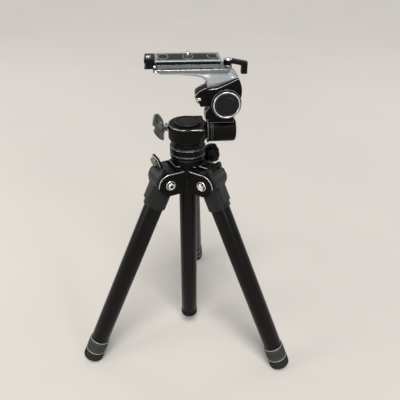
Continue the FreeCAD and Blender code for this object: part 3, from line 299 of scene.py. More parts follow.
def add_piece(name, points, body, finish, stands_for="", sharp=60, loop=False):
    """A piece made of a grid of points, smooth up to the sharp angle, that rides on its body."""
    mesh = grid_mesh(name, points, loop)
    piece = new_object(name, mesh)
    mesh.shade_smooth()
    mesh.set_sharp_from_angle(angle=math.radians(sharp))
    mesh.materials.append(look(finish))
    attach(piece, body)
    if stands_for:
        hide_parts(stands_for)


def add_barrel(name, place, node, body):
    """A tube that stands for a CAD one: its wall's outline, with eased rims, swept round Z."""
    middle = np.array(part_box(node)[0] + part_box(node)[1], float) / 2
    for axis in (0, 1):
        place[:3, 3] += place[:3, axis] * (middle - place[:3, 3]).dot(place[:3, axis])
    (_, _, foot), (radius, _, top) = local_range(node, place)
    bore, ease = radius - TUBE_WALL, 0.4
    corners = [(bore, foot, ease), (radius, foot, ease), (radius, top, ease), (bore, top, ease)]
    add_piece(name, hoop(place, corners, 128), body, "tube_lacquer", node, 50, loop=True)


def bead(name, place, radius, height, width, finish, body, segments=96):
    """A round ring set into a face: a small circle swept round Z of the place."""
    across = full_turn(12)[:, None]
    reach, rise = radius + width * np.cos(across), height + width * np.sin(across)
    points = swept(reach, rise, full_turn(segments), place)
    add_piece(name, points, body, finish, sharp=80, loop=True)


def strip(name, place, line, level, width, finish, body, axis=1):
    """A thin round bead along a line that lies at a level of one axis, small at its ends."""
    path = np.insert(line, axis, level, axis=1)
    ahead = np.gradient(path, axis=0)
    ahead /= np.linalg.norm(ahead, axis=1)[:, None]
    normal = np.eye(3)[axis]
    across = np.cross(ahead, normal)
    across /= np.linalg.norm(across, axis=1)[:, None]
    turn = full_turn(10)[:, None]
    circle = across[:, None] * np.cos(turn) + normal * np.sin(turn)
    from_end = np.minimum(np.arange(len(path)), np.arange(len(path))[::-1])
    width = width * np.clip(0.25 + from_end * 0.25, 0, 1)[:, None, None]
    add_piece(name, put(path[:, None] + width * circle, place), body, finish, sharp=80)


def soft_casting(node, width, finish="black_cast_paint", edge_finish="edge_highlight_paint"):
    """A copy of a CAD node with its edges rounded, as castings and mouldings have them; the round faces take
    a lighter edge finish that paints their highlight.
    """
    angle = math.radians(27)
    source = frame["nodes"][node]
    mesh = source.data.copy()
    mesh.name = node + "_soft"
    work = bmesh.new()
    work.from_mesh(mesh)
    bmesh.ops.remove_doubles(work, verts=work.verts, dist=4e-6)
    bmesh.ops.dissolve_degenerate(work, edges=work.edges, dist=4e-6)
    bmesh.ops.dissolve_limit(work, angle_limit=math.radians(0.5), verts=work.verts, edges=work.edges)
    work.to_mesh(mesh)
    work.free()
    mesh.materials.clear()
    piece = new_object(mesh.name, mesh)
    mesh.materials.append(look(finish))
    mesh.materials.append(look(edge_finish))
    mesh.shade_smooth()
    mesh.set_sharp_from_angle(angle=angle)
    bevel = piece.modifiers.new("edge_round", "BEVEL")
    bevel.width = width * MM
    bevel.segments = 3
    bevel.limit_method = "ANGLE"
    bevel.angle_limit = angle
    bevel.material = 1
    bevel.harden_normals = True
    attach(piece, source["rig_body"])
    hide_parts(node)


def dress(finish, *nodes):
    """Gives CAD nodes a finish through their own material slots."""
    for node in nodes:
        for slot in frame["nodes"][node].material_slots:
            slot.material = look(finish)


# Finishes: colour, roughness, metallic, spread of the colour and of the roughness, fine and broad scale,
# bump, and where they aren't the usual ones, specular and dust

FINISHES = {
    "studio_floor": ("tripod_studio.floor_colour", 0.6, 0, 0.03, 0.12, 300, 3, 0.02),
    "black_cast_paint": ("tripod_finish.casting_colour", 0.36, 0, 0.2, 0.06, 2200, 70, 0.2, 0.07, 0.004),
    "slate_cast_paint": ((0.009, 0.0102, 0.0096), 0.38, 0, 0.25, 0.06, 2200, 70, 0.2, 0.22, 0.005),
    # Lighter metal for the rounded edges and beads on the castings: it paints the highlights along their
    # edges.
    "edge_highlight_paint": ((0.3, 0.3, 0.3), 0.3, 0.85, 0.3, 0.12, 1800, 120, 0.1),
    # Bright metal for beads along edges and rims: it paints their highlights.
    "bright_edge_highlight": ((0.5, 0.5, 0.5), 0.28, 0.9, 0.25, 0.12, 1500, 150, 0.08),
    "platform_metal": ("tripod_finish.platform_colour", 0.25, 0.45, 0.1, 0.04, 2600, 50, 0.1),
    # Bright metal for the arm's seam, the clamp's edges and line and the drum's bright rim: it paints their
    # highlights.
    "platform_edge_highlight": ((0.6, 0.6, 0.61), 0.24, 0.95, 0.1, 0.12, 1500, 60, 0.05),
    "slab_metal": ((0.42, 0.44, 0.455), 0.34, 0.8, 0.15, 0.12, 1500, 60, 0.1),
    "clamp_metal": ((0.17, 0.18, 0.187), 0.3, 0.5, 0.12, 0.12, 1500, 60, 0.1),
    "tube_lacquer": ("tripod_finish.tube_colour", 0.3, 0, 0.15, 0.05, 900, 60, 0.03, 0.13, 0.01),
    "anodised_tube": ((0.1, 0.1, 0.105), 0.3, 0.9, 0.08, 0.12, 1500, 60, 0.04),
    "dark_steel": ((0.09, 0.09, 0.09), 0.34, 0.9, 0.2, 0.12, 1500, 60, 0.08),
    "black_moulding": ((0.005, 0.0045, 0.004), 0.4, 0, 0.25, 0.08, 1700, 60, 0.25, 0.1, 0.01),
    "drum_disc_moulding": ((0.008, 0.008, 0.0082), 0.42, 0, 0.15, 0.12, 1600, 60, 0.2, 0.15, 0.02),
    "wing_moulding": ("tripod_finish.knob_colour", 0.45, 0, 0.2, 0.12, 1500, 60, 0.25, 0.5, 0.1),
    # Lighter paint for the wing's rims: a painted highlight on their edges.
    "wing_rim_highlight": ((0.17, 0.175, 0.145), 0.42, 0, 0.3, 0.12, 1500, 180, 0.2),
    # Lighter paint for an open latch's tab: a painted highlight.
    "tab_highlight_paint": ((0.13, 0.135, 0.11), 0.45, 0.2, 0.4, 0.12, 1500, 200, 0.2),
    "pale_grip_ring": ((0.34, 0.345, 0.34), 0.4, 0.3, 0.15, 0.12, 1500, 60, 0.1),
    "collar_rubber": ((0.036, 0.038, 0.034), 0.55, 0, 0.35, 0.12, 2600, 60, 0.35, 0.2, 0.05),
    "shoe_rubber": ((0.024, 0.024, 0.021), 0.7, 0, 0.25, 0.12, 1800, 60, 0.4, 0.04, 0.02),
    "pad_rubber": ((0.03, 0.03, 0.03), 0.65, 0, 0.5, 0.12, 2600, 260, 0.5, 0.06, 0.03),
    "raised_oval": ((0.24, 0.245, 0.24), 0.5, 0, 0.3, 0.12, 2600, 60, 0.3),
    # Dark paint for the bolt sockets and washer recesses: painted shade.
    "painted_recess_shade": ((0.012, 0.012, 0.012), 0.5, 0, 0.2, 0.12, 1500, 60, 0.15, 0.2, 0),
}
# Polished metals: colour, roughness and bump
POLISHED = {
    "polished_steel": ((0.78, 0.78, 0.79), 0.16, 0.08),
    "socket_metal": ((0.68, 0.64, 0.54), 0.2, 0.2),
    "bolt_chrome": ((0.75, 0.75, 0.76), 0.14, 0.05),
}
DUST_COLOUR = (0.35, 0.33, 0.3, 1)


def look(name):
    """The material of that name, built from its row in the tables at the first call."""
    if name not in bpy.data.materials:
        if name in FINISHES:
            paint(name, *FINISHES[name])
        else:
            polish(name, *POLISHED[name])
    return bpy.data.materials[name]


def new_group(name, inputs, outputs):
    """A node group with number inputs, and its input and output nodes."""
    group = bpy.data.node_groups.new(name, "ShaderNodeTree")
    for label, default in inputs:
        socket = group.interface.new_socket(name=label, in_out="INPUT", socket_type="NodeSocketFloat")
        socket.default_value = default
    for label in outputs:
        group.interface.new_socket(name=label, in_out="OUTPUT", socket_type="NodeSocketFloat")
    return group, group.nodes.new("NodeGroupInput"), group.nodes.new("NodeGroupOutput")


def add_node(tree, kind, values=(), links=(), **settings):
    """A shader node with its settings, socket values and incoming links."""
    node = tree.nodes.new("ShaderNode" + kind)
    for key, value in settings.items():
        setattr(node, key, value)
    for key, value in values:
        node.inputs[key].default_value = value
    for key, source in links:
        tree.links.new(source, node.inputs[key])
    return node


def add_noise(tree, *values, links=()):
    """Noise on Object coordinates."""
    place = add_node(tree, "TexCoord")
    links = (("Vector", place.outputs["Object"]),) + links
    return add_node(tree, "TexNoise", values, links).outputs["Fac"]


def build_grain_group():
    """Two sizes of noise, as a height and as a mask that varies round one half."""
    scales = (("Fine Scale", 1500.0), ("Broad Scale", 60.0), ("Fine Share", 0.6))
    group, start, end = new_group("surface_grain", scales, ("Height", "Mask"))
    fine = add_noise(group, ("Detail", 3), ("Roughness", 0.6),
                     links=(("Scale", start.outputs["Fine Scale"]),))
    broad = add_noise(group, ("Detail", 4), ("Roughness", 0.55),
                      links=(("Scale", start.outputs["Broad Scale"]),))
    height = add_node(group, "Mix",
                      links=(("Factor", start.outputs["Fine Share"]), ("A", broad), ("B", fine)))
    group.links.new(height.outputs["Result"], end.inputs["Height"])
    group.links.new(broad, end.inputs["Mask"])


def build_dust_group():
    """A mask of settled dust: strong on faces that look up, broken by noise."""
    group, start, end = new_group("settled_dust", (("Amount", 0.3), ("Scale", 90.0)), ("Mask",))
    shape = add_node(group, "NewGeometry")
    split = add_node(group, "SeparateXYZ", links=(("Vector", shape.outputs["Normal"]),))
    up = add_node(group, "MapRange", (("From Min", 0.25), ("From Max", 1.0)),
                  (("Value", split.outputs["Z"]),))
    noise = add_noise(group, ("Detail", 5), ("Roughness", 0.65), links=(("Scale", start.outputs["Scale"]),))
    broken = add_node(group, "MapRange", (("From Min", 0.35), ("From Max", 0.75)),
                      (("Value", noise), ("To Max", start.outputs["Amount"])))
    mask = add_node(group, "Math", operation="MULTIPLY",
                    links=((0, up.outputs["Result"]), (1, broken.outputs["Result"])))
    group.links.new(mask.outputs["Value"], end.inputs["Mask"])


def new_shader(name, metallic):
    """A new material's node tree and its Principled shader."""
    material = bpy.data.materials.new(name)
    material.use_nodes = True
    shader = material.node_tree.nodes["Principled BSDF"]
    shader.inputs["Metallic"].default_value = metallic
    return material.node_tree, shader


def vary(tree, shader, mask, height, colour, shades, rough_range, bump):
    """Varies the roughness with a mask and the bump with a height, and gives the varied colour."""
    tint = add_node(tree, "Mix", data_type="RGBA", links=((0, mask),))
    for socket, shade in zip((6, 7), shades):
        tint.inputs[socket].default_value = tuple(min(1.0, c * shade) for c in colour) + (1,)
    labels = ("From Min", "From Max", "To Min", "To Max")
    rough_map = add_node(tree, "MapRange", zip(labels, rough_range), (("Value", mask),))
    tree.links.new(rough_map.outputs["Result"], shader.inputs["Roughness"])
    raised = add_node(tree, "Bump", zip(("Strength", "Distance"), bump), (("Height", height),))
    tree.links.new(raised.outputs["Normal"], shader.inputs["Normal"])
    return tint.outputs[2]


def paint(name, colour, rough, metallic, spread, rough_spread, fine, broad, bump, specular=0.5,
          dust=0):
    """A finish whose colour, roughness and bump vary with the grain, under light dust."""
    if isinstance(colour, str):
        colour = tuple(bpy.context.scene.path_resolve(colour))
    tree, shader = new_shader(name, metallic)
    shader.inputs["Specular IOR Level"].default_value = specular
    grain = add_node(tree, "Group", (("Fine Scale", fine), ("Broad Scale", broad)),
                     node_tree=bpy.data.node_groups["surface_grain"])
    shown = vary(tree, shader, grain.outputs["Mask"], grain.outputs["Height"], colour,
                 (1 - spread, 1 + spread),
                 (0.3, 0.7, max(0.02, rough - rough_spread), min(1, rough + rough_spread)), (bump, 0.00004))
    if dust:
        settled = add_node(tree, "Group", (("Amount", dust),),
                           node_tree=bpy.data.node_groups["settled_dust"])
        dusted = add_node(tree, "Mix", ((7, DUST_COLOUR),),
                          ((0, settled.outputs["Mask"]), (6, shown)), data_type="RGBA")
        shown = dusted.outputs[2]
    tree.links.new(shown, shader.inputs["Base Color"])


def polish(name, colour, rough, bump):
    """A polished metal: fine noise in the colour, the roughness and the bump."""
    tree, shader = new_shader(name, 1.0)
    noise = add_noise(tree, ("Scale", 900), ("Detail", 3))
    shown = vary(tree, shader, noise, noise, colour, (0.82, 1.12), (0, 1, rough * 0.7, rough * 1.4),
                 (bump, 0.00003))
    tree.links.new(shown, shader.inputs["Base Color"])


# Settings

def colour_setting(name, description, default):
    """A colour property with three parts."""
    return FloatVectorProperty(name=name, description=description, subtype="COLOR", size=3, min=0, max=1,
                               default=default)


class TripodFinish(PropertyGroup):
    casting_colour: colour_setting("Casting colour", "Paint of the cast pieces", (0.0035, 0.0033, 0.003))
    platform_colour: colour_setting("Platform colour", "Metal of the platform arm", (0.42, 0.445, 0.46))
    tube_colour: colour_setting("Tube colour", "Lacquer of the leg and column tubes",
                                (0.004, 0.0036, 0.0033))
    knob_colour: colour_setting("Wing knob colour", "Moulding of the wing knob", (0.045, 0.047, 0.038))
    casting_round: FloatProperty(name="Casting round", description="Edge round of the cast pieces, in mm",
                                 min=0.05, max=2, default=0.7)


class TripodDetail(PropertyGroup):
    grip_ribs: IntProperty(name="Grip ribs", description="Ribs round each foot grip", min=12, max=160,
                           default=60)
    grip_rib_depth: FloatProperty(name="Rib depth", description="Depth of a grip rib, in mm", min=0, max=1,
                                  default=0.45)
    knob_scallops: IntProperty(name="Knob scallops", description="Scallops round the column lock knob", min=4,
                               max=16, default=8)
    cap_ribs: IntProperty(name="Cap ribs", description="Ribs round the column's end cap", min=12, max=120,
                          default=72)


class TripodStudio(PropertyGroup):
    floor_colour: colour_setting("Floor colour", "Colour of the studio floor", (0.62, 0.59, 0.55))
    key_strength: FloatProperty(name="Key light", description="Strength of the overhead soft light", min=0,
                                max=20, default=2.5)
    fill_power: FloatProperty(name="Fill light", description="Power of each side light", subtype="POWER",
                              unit="POWER", min=0, max=200, default=6)


# Parts, and the operators that make them

def light_the_world(tree):
    """Dim light all round, and a pale backdrop where the camera or a reflection sees it."""
    backdrop = tree.nodes["Background"]
    backdrop.inputs["Color"].default_value = (0.86, 0.87, 0.9, 1)
    rays = add_node(tree, "LightPath")
    either = add_node(tree, "Math", operation="MAXIMUM",
                      links=((0, rays.outputs["Is Camera Ray"]), (1, rays.outputs["Is Glossy Ray"])))
    strength = add_node(tree, "MapRange", (("To Min", 0.3), ("To Max", 0.6)),
                        (("Value", either.outputs["Value"]),))
    tree.links.new(strength.outputs["Result"], backdrop.inputs["Strength"])


def add_lights(context):
    """One overhead light and four square side lights, all aimed at the middle of the part."""
    key, fill = context.scene.tripod_studio.key_strength, context.scene.tripod_studio.fill_power
    for name, kind, spot, size, power, colour in (
            ("key_light", "SUN", (0.05, -0.6, 1.45), math.radians(32), key, (1, 0.98, 0.95)),
            ("left_light", "AREA", (-1.3, -0.6, 0.7), 0.6, fill, (1, 0.99, 0.96)),
            ("right_light", "AREA", (1, -1.4, 0.8), 0.4, fill, (0.97, 0.98, 1)),
            ("far_left_light", "AREA", (-1.6, 0.9, 0.8), 0.7, fill * 0.6, (1, 1, 1)),
            ("far_right_light", "AREA", (1.6, 0.9, 0.7), 0.7, fill * 0.6, (1, 1, 1))):
        lamp = bpy.data.lights.new(name, kind)
        if kind == "SUN":
            lamp.angle = size
        else:
            lamp.shape = "SQUARE"
            lamp.size = size
        lamp.energy = power
        lamp.color = colour
        light = new_object(name, lamp)
        light.location = spot
        aim = Vector((0, 0, 0.25)) - Vector(spot)
        light.rotation_euler = aim.to_track_quat("-Z", "Y").to_euler()


def add_camera(context):
    """The camera's place was solved from the feet, the bolts and the platform in the photograph."""
    azimuth, pitch, roll = (math.radians(a) for a in (2.417, 32.927, 0.435))
    lens = bpy.data.cameras.new("photo_camera")
    lens.sensor_fit = "HORIZONTAL"
    lens.sensor_width = 36.0
    lens.lens = 39.77
    lens.clip_start = 0.01
    camera = new_object("photo_camera", lens)
    spot = Matrix.Translation((0.0367, COLUMN[1] - 0.4951, 0.5527))
    turn = Matrix.Rotation(azimuth, 4, "Z") @ Matrix.Rotation(math.pi / 2 - pitch, 4, "X")
    camera.matrix_world = spot @ turn @ Matrix.Rotation(roll, 4, "Z")
    context.scene.camera = camera


class TRIPOD_OT_stage(Operator):
    """Floor, soft lights and the camera at the photograph's angle"""
    bl_idname = "tripod.stage"
    bl_label = "Studio and camera"

    def execute(self, context):
        floor_mesh = bpy.data.meshes.new("studio_floor")
        half = 6.0
        floor_mesh.from_pydata([(-half, -half, 0), (half, -half, 0), (half, half, 0), (-half, half, 0)], [],
                               [(0, 1, 2, 3)])
        floor = new_object("studio_floor", floor_mesh)
        floor_mesh.materials.append(look("studio_floor"))
        world = bpy.data.worlds.new("studio_world")
        context.scene.world = world
        world.use_nodes = True
        light_the_world(world.node_tree)
        add_lights(context)
        add_camera(context)
        context.scene.view_settings.view_transform = "Standard"
        return {"FINISHED"}


def add_plate_edge():
    """A bright bead round the corners of the spider's six-sided top, a painted highlight on its edge."""
    out, half_side, top = 21.7, 9.9, 19.65
    corners = []
    for leg in ("right", "back", "left"):
        x, y = fork_place(leg)[:2, 0], fork_place(leg)[:2, 1]
        corners += [x * out - y * half_side, x * out + y * half_side]
    line = straight_line(corners + corners[:1], 12)
    place = column_place(fork_place("left")[2, 3])
    strip("spider_top_edge", place, line, top, 0.38, "edge_highlight_paint", "spider", 2)


def add_finger_tab(leg):
    """A soft block on the free end of the latch's flap, and a bright bead that paints the highlight on the
    flap's rim.
    """
    joint = JOINTS[leg + "_latch_turn"]
    opened = math.radians(abs(joint["range_deg"][0]))
    fork = fork_place(leg)
    x = fork[:3, 0] * math.cos(opened) - fork[:3, 2] * math.sin(opened)
    place = square_place(x, fork[:3, 1], joint["pos_m"])
    end = local_range(leg + "_angle_latch", place)[0][0]
    half, up, finish = (3.2, 4.8, 2.2), 3.2, "black_moulding"
    # An open latch's tab takes a lighter paint than a closed one's: a painted highlight on its face.
    if opened:
        half, up, finish = (4.8, 5, 3.8), 3.7, "tab_highlight_paint"
    block = pillow(place, (end + 0.4 + half[0], 0, up), half)
    add_piece(leg + "_finger_tab", block, leg + "_latch", finish)
    flap_top, flap_half, near, far = 1.65, 8.3, end + 0.35, -3.4
    line = straight_line([(far, -flap_half), (near, -flap_half), (near, flap_half), (far, flap_half)], 14)
    strip(leg + "_latch_rim", place, line, flap_top, 0.5, "bright_edge_highlight", leg + "_latch", 2)


def add_ear_edges(leg):
    """A bright bead along each ear's crest that runs on round the ear's circle: a painted highlight on its
    edge.
    """
    radius, crest, face = 15.1, 14.85, 17.95
    round_ear = np.radians(np.linspace(88, -8, 40))
    arc = np.stack([radius * np.cos(round_ear), radius * np.sin(round_ear)], 1)
    line = np.concatenate([straight_line([(-19.6, crest), (-2, crest)], 20), arc])
    for side, name in ((-1, "right"), (1, "left")):
        strip(f"{leg}_ear_edge_{name}", fork_place(leg), line, side * face, 0.6, "bright_edge_highlight", "spider")


class TRIPOD_OT_castings(Operator):
    """Spider, leg castings and angle latches with cast rounds"""
    bl_idname = "tripod.castings"
    bl_label = "Spider and leg castings"

    def execute(self, context):
        width = context.scene.tripod_finish.casting_round
        soft_casting("spider", width)
        for leg in LEGS:
            soft_casting(leg + "_leg_casting", width * 0.8, "slate_cast_paint")
            soft_casting(leg + "_angle_latch", width * 0.5)
            add_ear_edges(leg)
            add_finger_tab(leg)
        add_plate_edge()
        return {"FINISHED"}


def add_grip(detail, leg):
    """A collar whose radius rises and falls with the angle between two plain bands."""
    place = along(leg + "_dial_turn")
    (_, _, start), (radius, _, end) = local_range(leg + "_foot_grip", place)
    band_radius, groove_radius = radius - 0.3, radius - 0.9
    corners = [(groove_radius, start, 0), (band_radius, start + 1.2, 0.5), (band_radius, start + 2.6, 0.4),
               (groove_radius, start + 3.1, 0.3), (groove_radius, start + 3.5, 0.3),
               (radius, start + 4.2, 0.3), (radius, end - 4.2, 0.3), (groove_radius, end - 3.5, 0.3),
               (groove_radius, end - 3.1, 0.3), (band_radius, end - 2.6, 0.4), (band_radius, end - 0.5, 0.4),
               (radius - 1, end, 0)]

    def ribs(angle, height, reach):
        band = np.clip((np.minimum(height - start, end - height) - 3.8) / 0.6, 0, 1)
        wave = np.cos(angle * detail.grip_ribs)
        return -detail.grip_rib_depth * band * (0.5 - 0.5 * np.tanh(wave * 2.2))

    collar = turned(place, corners, 4, 0.5, detail.grip_ribs * 6, ribs)
    add_piece(leg + "_knurled_grip", collar, leg + "_dial", "collar_rubber", leg + "_foot_grip")
    # Two beads in a paler finish at the collar's top and foot.
    for name, height, reach in (("top", start + 0.75, radius - 0.75), ("foot", end - 0.1, radius - 0.45)):
        bead(f"{leg}_grip_ring_{name}", place, reach, height, 0.5, "pale_grip_ring", leg + "_dial", 72)


def add_foot(leg):
    """A shoe with a groove and a domed tread, pressed flat where it meets the floor."""
    place = along(leg + "_dial_turn")
    low, high = local_range(leg + "_rubber_foot", place)
    start, end, radius = low[2], high[2], (high[1] - low[1]) / 2
    corners = [(8.6, start, 0), (radius - 0.5, start, 0.3), (radius, start + 0.8, 0.4),
               (radius, start + 2.4, 0.3), (radius - 0.8, start + 2.9, 0.3),
               (radius - 0.8, start + 3.3, 0.3), (radius, start + 3.8, 0.3), (radius, end, 4.5),
               (radius - 5.4, end, 1), (radius - 6.2, end - 0.7, 0.4), (0.01, end - 0.7, 0)]
    points = turned(place, corners)
    points[..., 2] = np.maximum(points[..., 2], 0)
    add_piece(leg + "_foot_shoe", points, leg + "_dial", "shoe_rubber", leg + "_rubber_foot")


class TRIPOD_OT_legs(Operator):
    """Leg tubes, knurled foot grips and rubber feet"""
    bl_idname = "tripod.legs"
    bl_label = "Legs and feet"

    def execute(self, context):
        for leg in LEGS:
            add_barrel(leg + "_lacquered_tube", along(leg + "_dial_turn"), leg + "_outer_tube", leg + "_leg")
            dress("anodised_tube", leg + "_second_tube", leg + "_third_tube", leg + "_foot_tube")
            dress("black_moulding", leg + "_lock_wedge")
            add_grip(context.scene.tripod_detail, leg)
            add_foot(leg)
        return {"FINISHED"}


def add_end_cap(count):
    """A cap with a rounded foot, and ribs that fade upwards from its lower edge."""
    place = column_place(0)
    (_, _, foot), (radius, _, _) = local_range("column_end_cap", place)
    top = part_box("column_tube")[0].z / MM
    corners = [(0.01, foot + 0.6, 0), (radius - 3.4, foot + 0.6, 0.4), (radius - 2.8, foot, 0.4),
               (radius - 0.9, foot, 0.6), (radius, foot + 1.2, 0.6), (radius, foot + 3, 0.3),
               (radius - 0.35, foot + 3.4, 0.2), (radius - 0.35, top - 0.6, 0.3), (radius - 0.9, top, 0.1),
               (11.8, top, 0)]

    def ribs(angle, height, reach):
        band = np.clip((foot + 3.2 - height) / 0.5, 0, 1) * np.clip((reach - radius + 1.2) / 0.4, 0, 1)
        return -0.35 * band * (0.5 + 0.5 * np.cos(angle * count))

    cap = turned(place, corners, 5, 0.4, count * 5, ribs)
    add_piece("column_ribbed_cap", cap, "column", "black_moulding", "column_end_cap", 50)
    bead("column_cap_ring", place, radius - 0.55, foot + 0.85, 0.32, "dark_steel", "column")


def add_lock_knob(count):
    """A knob whose radius dips in scallops, with a domed face and a recessed ring."""
    place = along("column_lock_turn")
    (_, _, foot), (radius, _, end) = local_range("column_lock_knob", place)
    start = end - 10.8
    corners = [(5.8, start, 0), (5.8, foot, 0), (8.3, foot, 0.5), (11.3, start - 0.2, 0.5), (11.3, start, 0),
               (radius - 0.8, start + 0.4, 0.3), (radius, start + 2.2, 0.8), (radius, end - 2.2, 2),
               (radius - 2.4, end, 1.6), (radius - 5.2, end, 0.3), (radius - 5.5, end - 0.6, 0.3),
               (radius - 6.2, end - 0.6, 0.3), (radius - 6.5, end - 0.1, 0.3), (0.01, end - 0.1, 0)]

    def scallops(angle, height, reach):
        band = np.clip((reach - radius + 4.5) / 3, 0, 1) * np.clip((height - start - 1.5) / 1.5, 0, 1)
        dip = np.exp(-((np.mod(angle * count / (2 * math.pi), 1) - 0.5) / 0.2) ** 2)
        return -1.5 * band * dip

    knob = turned(place, corners, 6, 0.5, count * 32, scallops)
    add_piece("column_scalloped_knob", knob, "column_lock", "black_moulding", "column_lock_knob", 50)


class TRIPOD_OT_column(Operator):
    """Centre column, its end cap, its lock knob and the bush and screw that hold it"""
    bl_idname = "tripod.column"
    bl_label = "Centre column"

    def execute(self, context):
        add_barrel("column_barrel", along("column_slide", (1, 0, 0)), "column_tube", "column")
        dress("black_moulding", "column_bush")
        dress("dark_steel", "column_lock_screw")
        add_end_cap(context.scene.tripod_detail.cap_ribs)
        add_lock_knob(context.scene.tripod_detail.knob_scallops)
        return {"FINISHED"}


def add_cap():
    """A low cap with a rounded rim round a sunk middle."""
    place = head_place("pan_turn")
    high = (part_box("pan_cap")[1].z - place[2, 3]) / MM
    foot = high - 2.6
    corners = [(0.01, foot - 3.9, 0), (12.9, foot - 3.9, 0), (12.9, foot, 0), (16, foot, 0),
               (16, high - 0.2, 0.8), (14.4, high, 0.5), (13.6, high - 0.8, 0.3), (12.9, high - 0.8, 0.3),
               (12.3, high - 0.25, 0.4), (0.01, high - 0.15, 0)]
    add_piece("pan_cap_lid", turned(place, corners, 5, 0.8), "pan", "black_moulding", "pan_cap")
    bead("pan_cap_rim", place, 15.5, high - 0.3, 0.32, "dark_steel", "pan", 120)


def add_housing_edge():
    """A bright bead on the housing's top edge, along the straight front and round the left side: a painted
    highlight.
    """
    place = head_place("pan_turn")
    high = (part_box("pan_housing")[1].z - place[2, 3]) / MM
    radius, front = 22.75, -21.8
    around = np.radians(np.linspace(110, 251, 60))
    arc = np.stack([radius * np.cos(around), radius * np.sin(around)], 1)
    line = np.concatenate([arc, straight_line([(-4.5, front), (18, front)], 24)])
    strip("housing_top_edge", place, line, high - 0.85, 0.5, "bright_edge_highlight", "pan", 2)


def add_wing():
    """Two twisted blades on a round hub, with lighter rims that paint the highlights on their edges.

    Each section is a superellipse. Its chord, thickness, twist and distance along the screw follow its
    place on the blade."""
    place = head_place("pan_lock_turn")
    place[:3, 3] -= place[:3, 0] * (place[:3, 0] @ (place[:3, 3] - np.array(COLUMN)))
    low, high = local_range("wing_knob", place)
    foot, tip = -high[0], high[2]
    marks = np.array([-1, -0.94, -0.75, -0.45, -0.2, 0, 0.2, 0.45, 0.75, 0.94, 1])
    sample = np.sin(np.linspace(-math.pi / 2, math.pi / 2, 96))[:, None]
    chord = np.interp(sample, marks, [0.3, 3.2, 5.2, 6.6, 6.2, 5.4, 6.2, 6.4, 4.9, 3, 0.3])
    thick = np.interp(sample, marks, [0.2, 1.6, 2.3, 2.9, 4.4, 5.4, 4.4, 2.9, 2.2, 1.5, 0.2])
    out = foot + np.interp(sample, marks, [4.4, 4.8, 6.2, 7.6, 6.6, 6.4, 8, 8.2, 9.2, 9.9, 10.2])
    twist = np.radians(np.interp(sample, marks, [46, 44, 40, 32, 12, 0, -12, -32, -40, -44, -46]))
    turn = full_turn(56)
    along_chord = chord * squared(np.cos(turn), 0.7)
    along_thick = thick * squared(np.sin(turn), 0.7)
    dish = np.exp(-((along_chord / chord) / 0.55) ** 4) * np.clip(np.abs(sample) * 4 - 1, 0, 1)
    along_thick *= 1 - 0.78 * dish
    x = -(out + along_chord * np.cos(twist) - along_thick * np.sin(twist))
    y = along_chord * np.sin(twist) + along_thick * np.cos(twist)
    z = tip * sample + 0 * turn
    points = put(np.stack([x, y, z], -1), place)
    add_piece("twisted_wing", points, "wing", "wing_moulding", "wing_knob", 70)
    for side, name in ((-1, "rear"), (1, "front")):
        line = np.concatenate([-(out + side * chord * np.cos(twist)), tip * sample], axis=1)
        level = side * chord * np.sin(twist)
        for half, part in ((sample < -0.1, "lower"), (sample > 0.1, "upper")):
            lobe = half[:, 0]
            strip(f"wing_rim_{part}_{name}", place, line[lobe], level[lobe, 0], 0.85,
                  "wing_rim_highlight", "wing")


class TRIPOD_OT_pan(Operator):
    """Pan base, the column's seat, housing, cap and wing screw"""
    bl_idname = "tripod.pan"
    bl_label = "Pan head"

    def execute(self, context):
        width = context.scene.tripod_finish.casting_round
        soft_casting("pan_housing", width * 1.1)
        soft_casting("column_head_seat", width * 0.25)
        soft_casting("pan_base", width * 0.3)
        add_cap()
        add_housing_edge()
        dress("polished_steel", "pan_washer", "pan_spindle")
        dress("dark_steel", "wing_screw")
        add_wing()
        return {"FINISHED"}


def add_arm():
    """The platform arm as one crowned beam, and beads along its seam and the lug's edge."""
    place = head_place("tilt")
    left_end, hub_half, blade_half = -74.8, 6, 10.5
    seam = [(-21.7, 16.5, 0.5), (-11.5, 17.4, 3), (-0.4, 22, 4), (13.3, 28.8, 0)]
    upper = smooth_line([(left_end, 36.6, 0), (-0.6, 36.6, 6), (7.6, 34.2, 3), (11.8, 31.2, 1.5),
                         (13.3, 29.4, 0)], 120)
    lower = smooth_line([(left_end, 34.8, 0), (-53.2, 34.2, 6), (-36.7, 32.2, 5), (-26.4, 29.6, 4.5),
                         (-22, 22.6, 3)] + seam, 120)
    middle = (upper[:, 0] + lower[:, 0]) / 2
    past = np.clip(middle - 2.4, 0, 10.9) / 10.9
    half_width = blade_half + hub_half * np.sqrt(np.maximum(1 - past ** 2, 0))
    crown = np.interp(middle, (-45, -22, 12), (0.2, 3.6, 4.2))
    points = beam(place, upper, lower, half_width, 1.6, crown, 10, 20)
    add_piece("crowned_arm", points, "tilt", "platform_metal", "platform_arm", 50)
    seam_line = smooth_line(seam, 40)[1:-1] + (0, 0.25)
    lug_line = smooth_line([(-35, 7.9, 0), (-31.5, 12.2, 2), (-25.5, 15.6, 2), (-21.9, 16.3, 0)],
                           30) - (0, 0.3)
    # The seam and lug beads are bright metals that paint the highlights along those edges.
    for side, name in SIDES:
        strip("arm_seam_bead_" + name, place, seam_line, side * 15.9, 0.4, "platform_edge_highlight", "tilt")
        strip("lug_edge_" + name, place, lug_line, side * 8.7, 0.4, "bright_edge_highlight", "tilt")


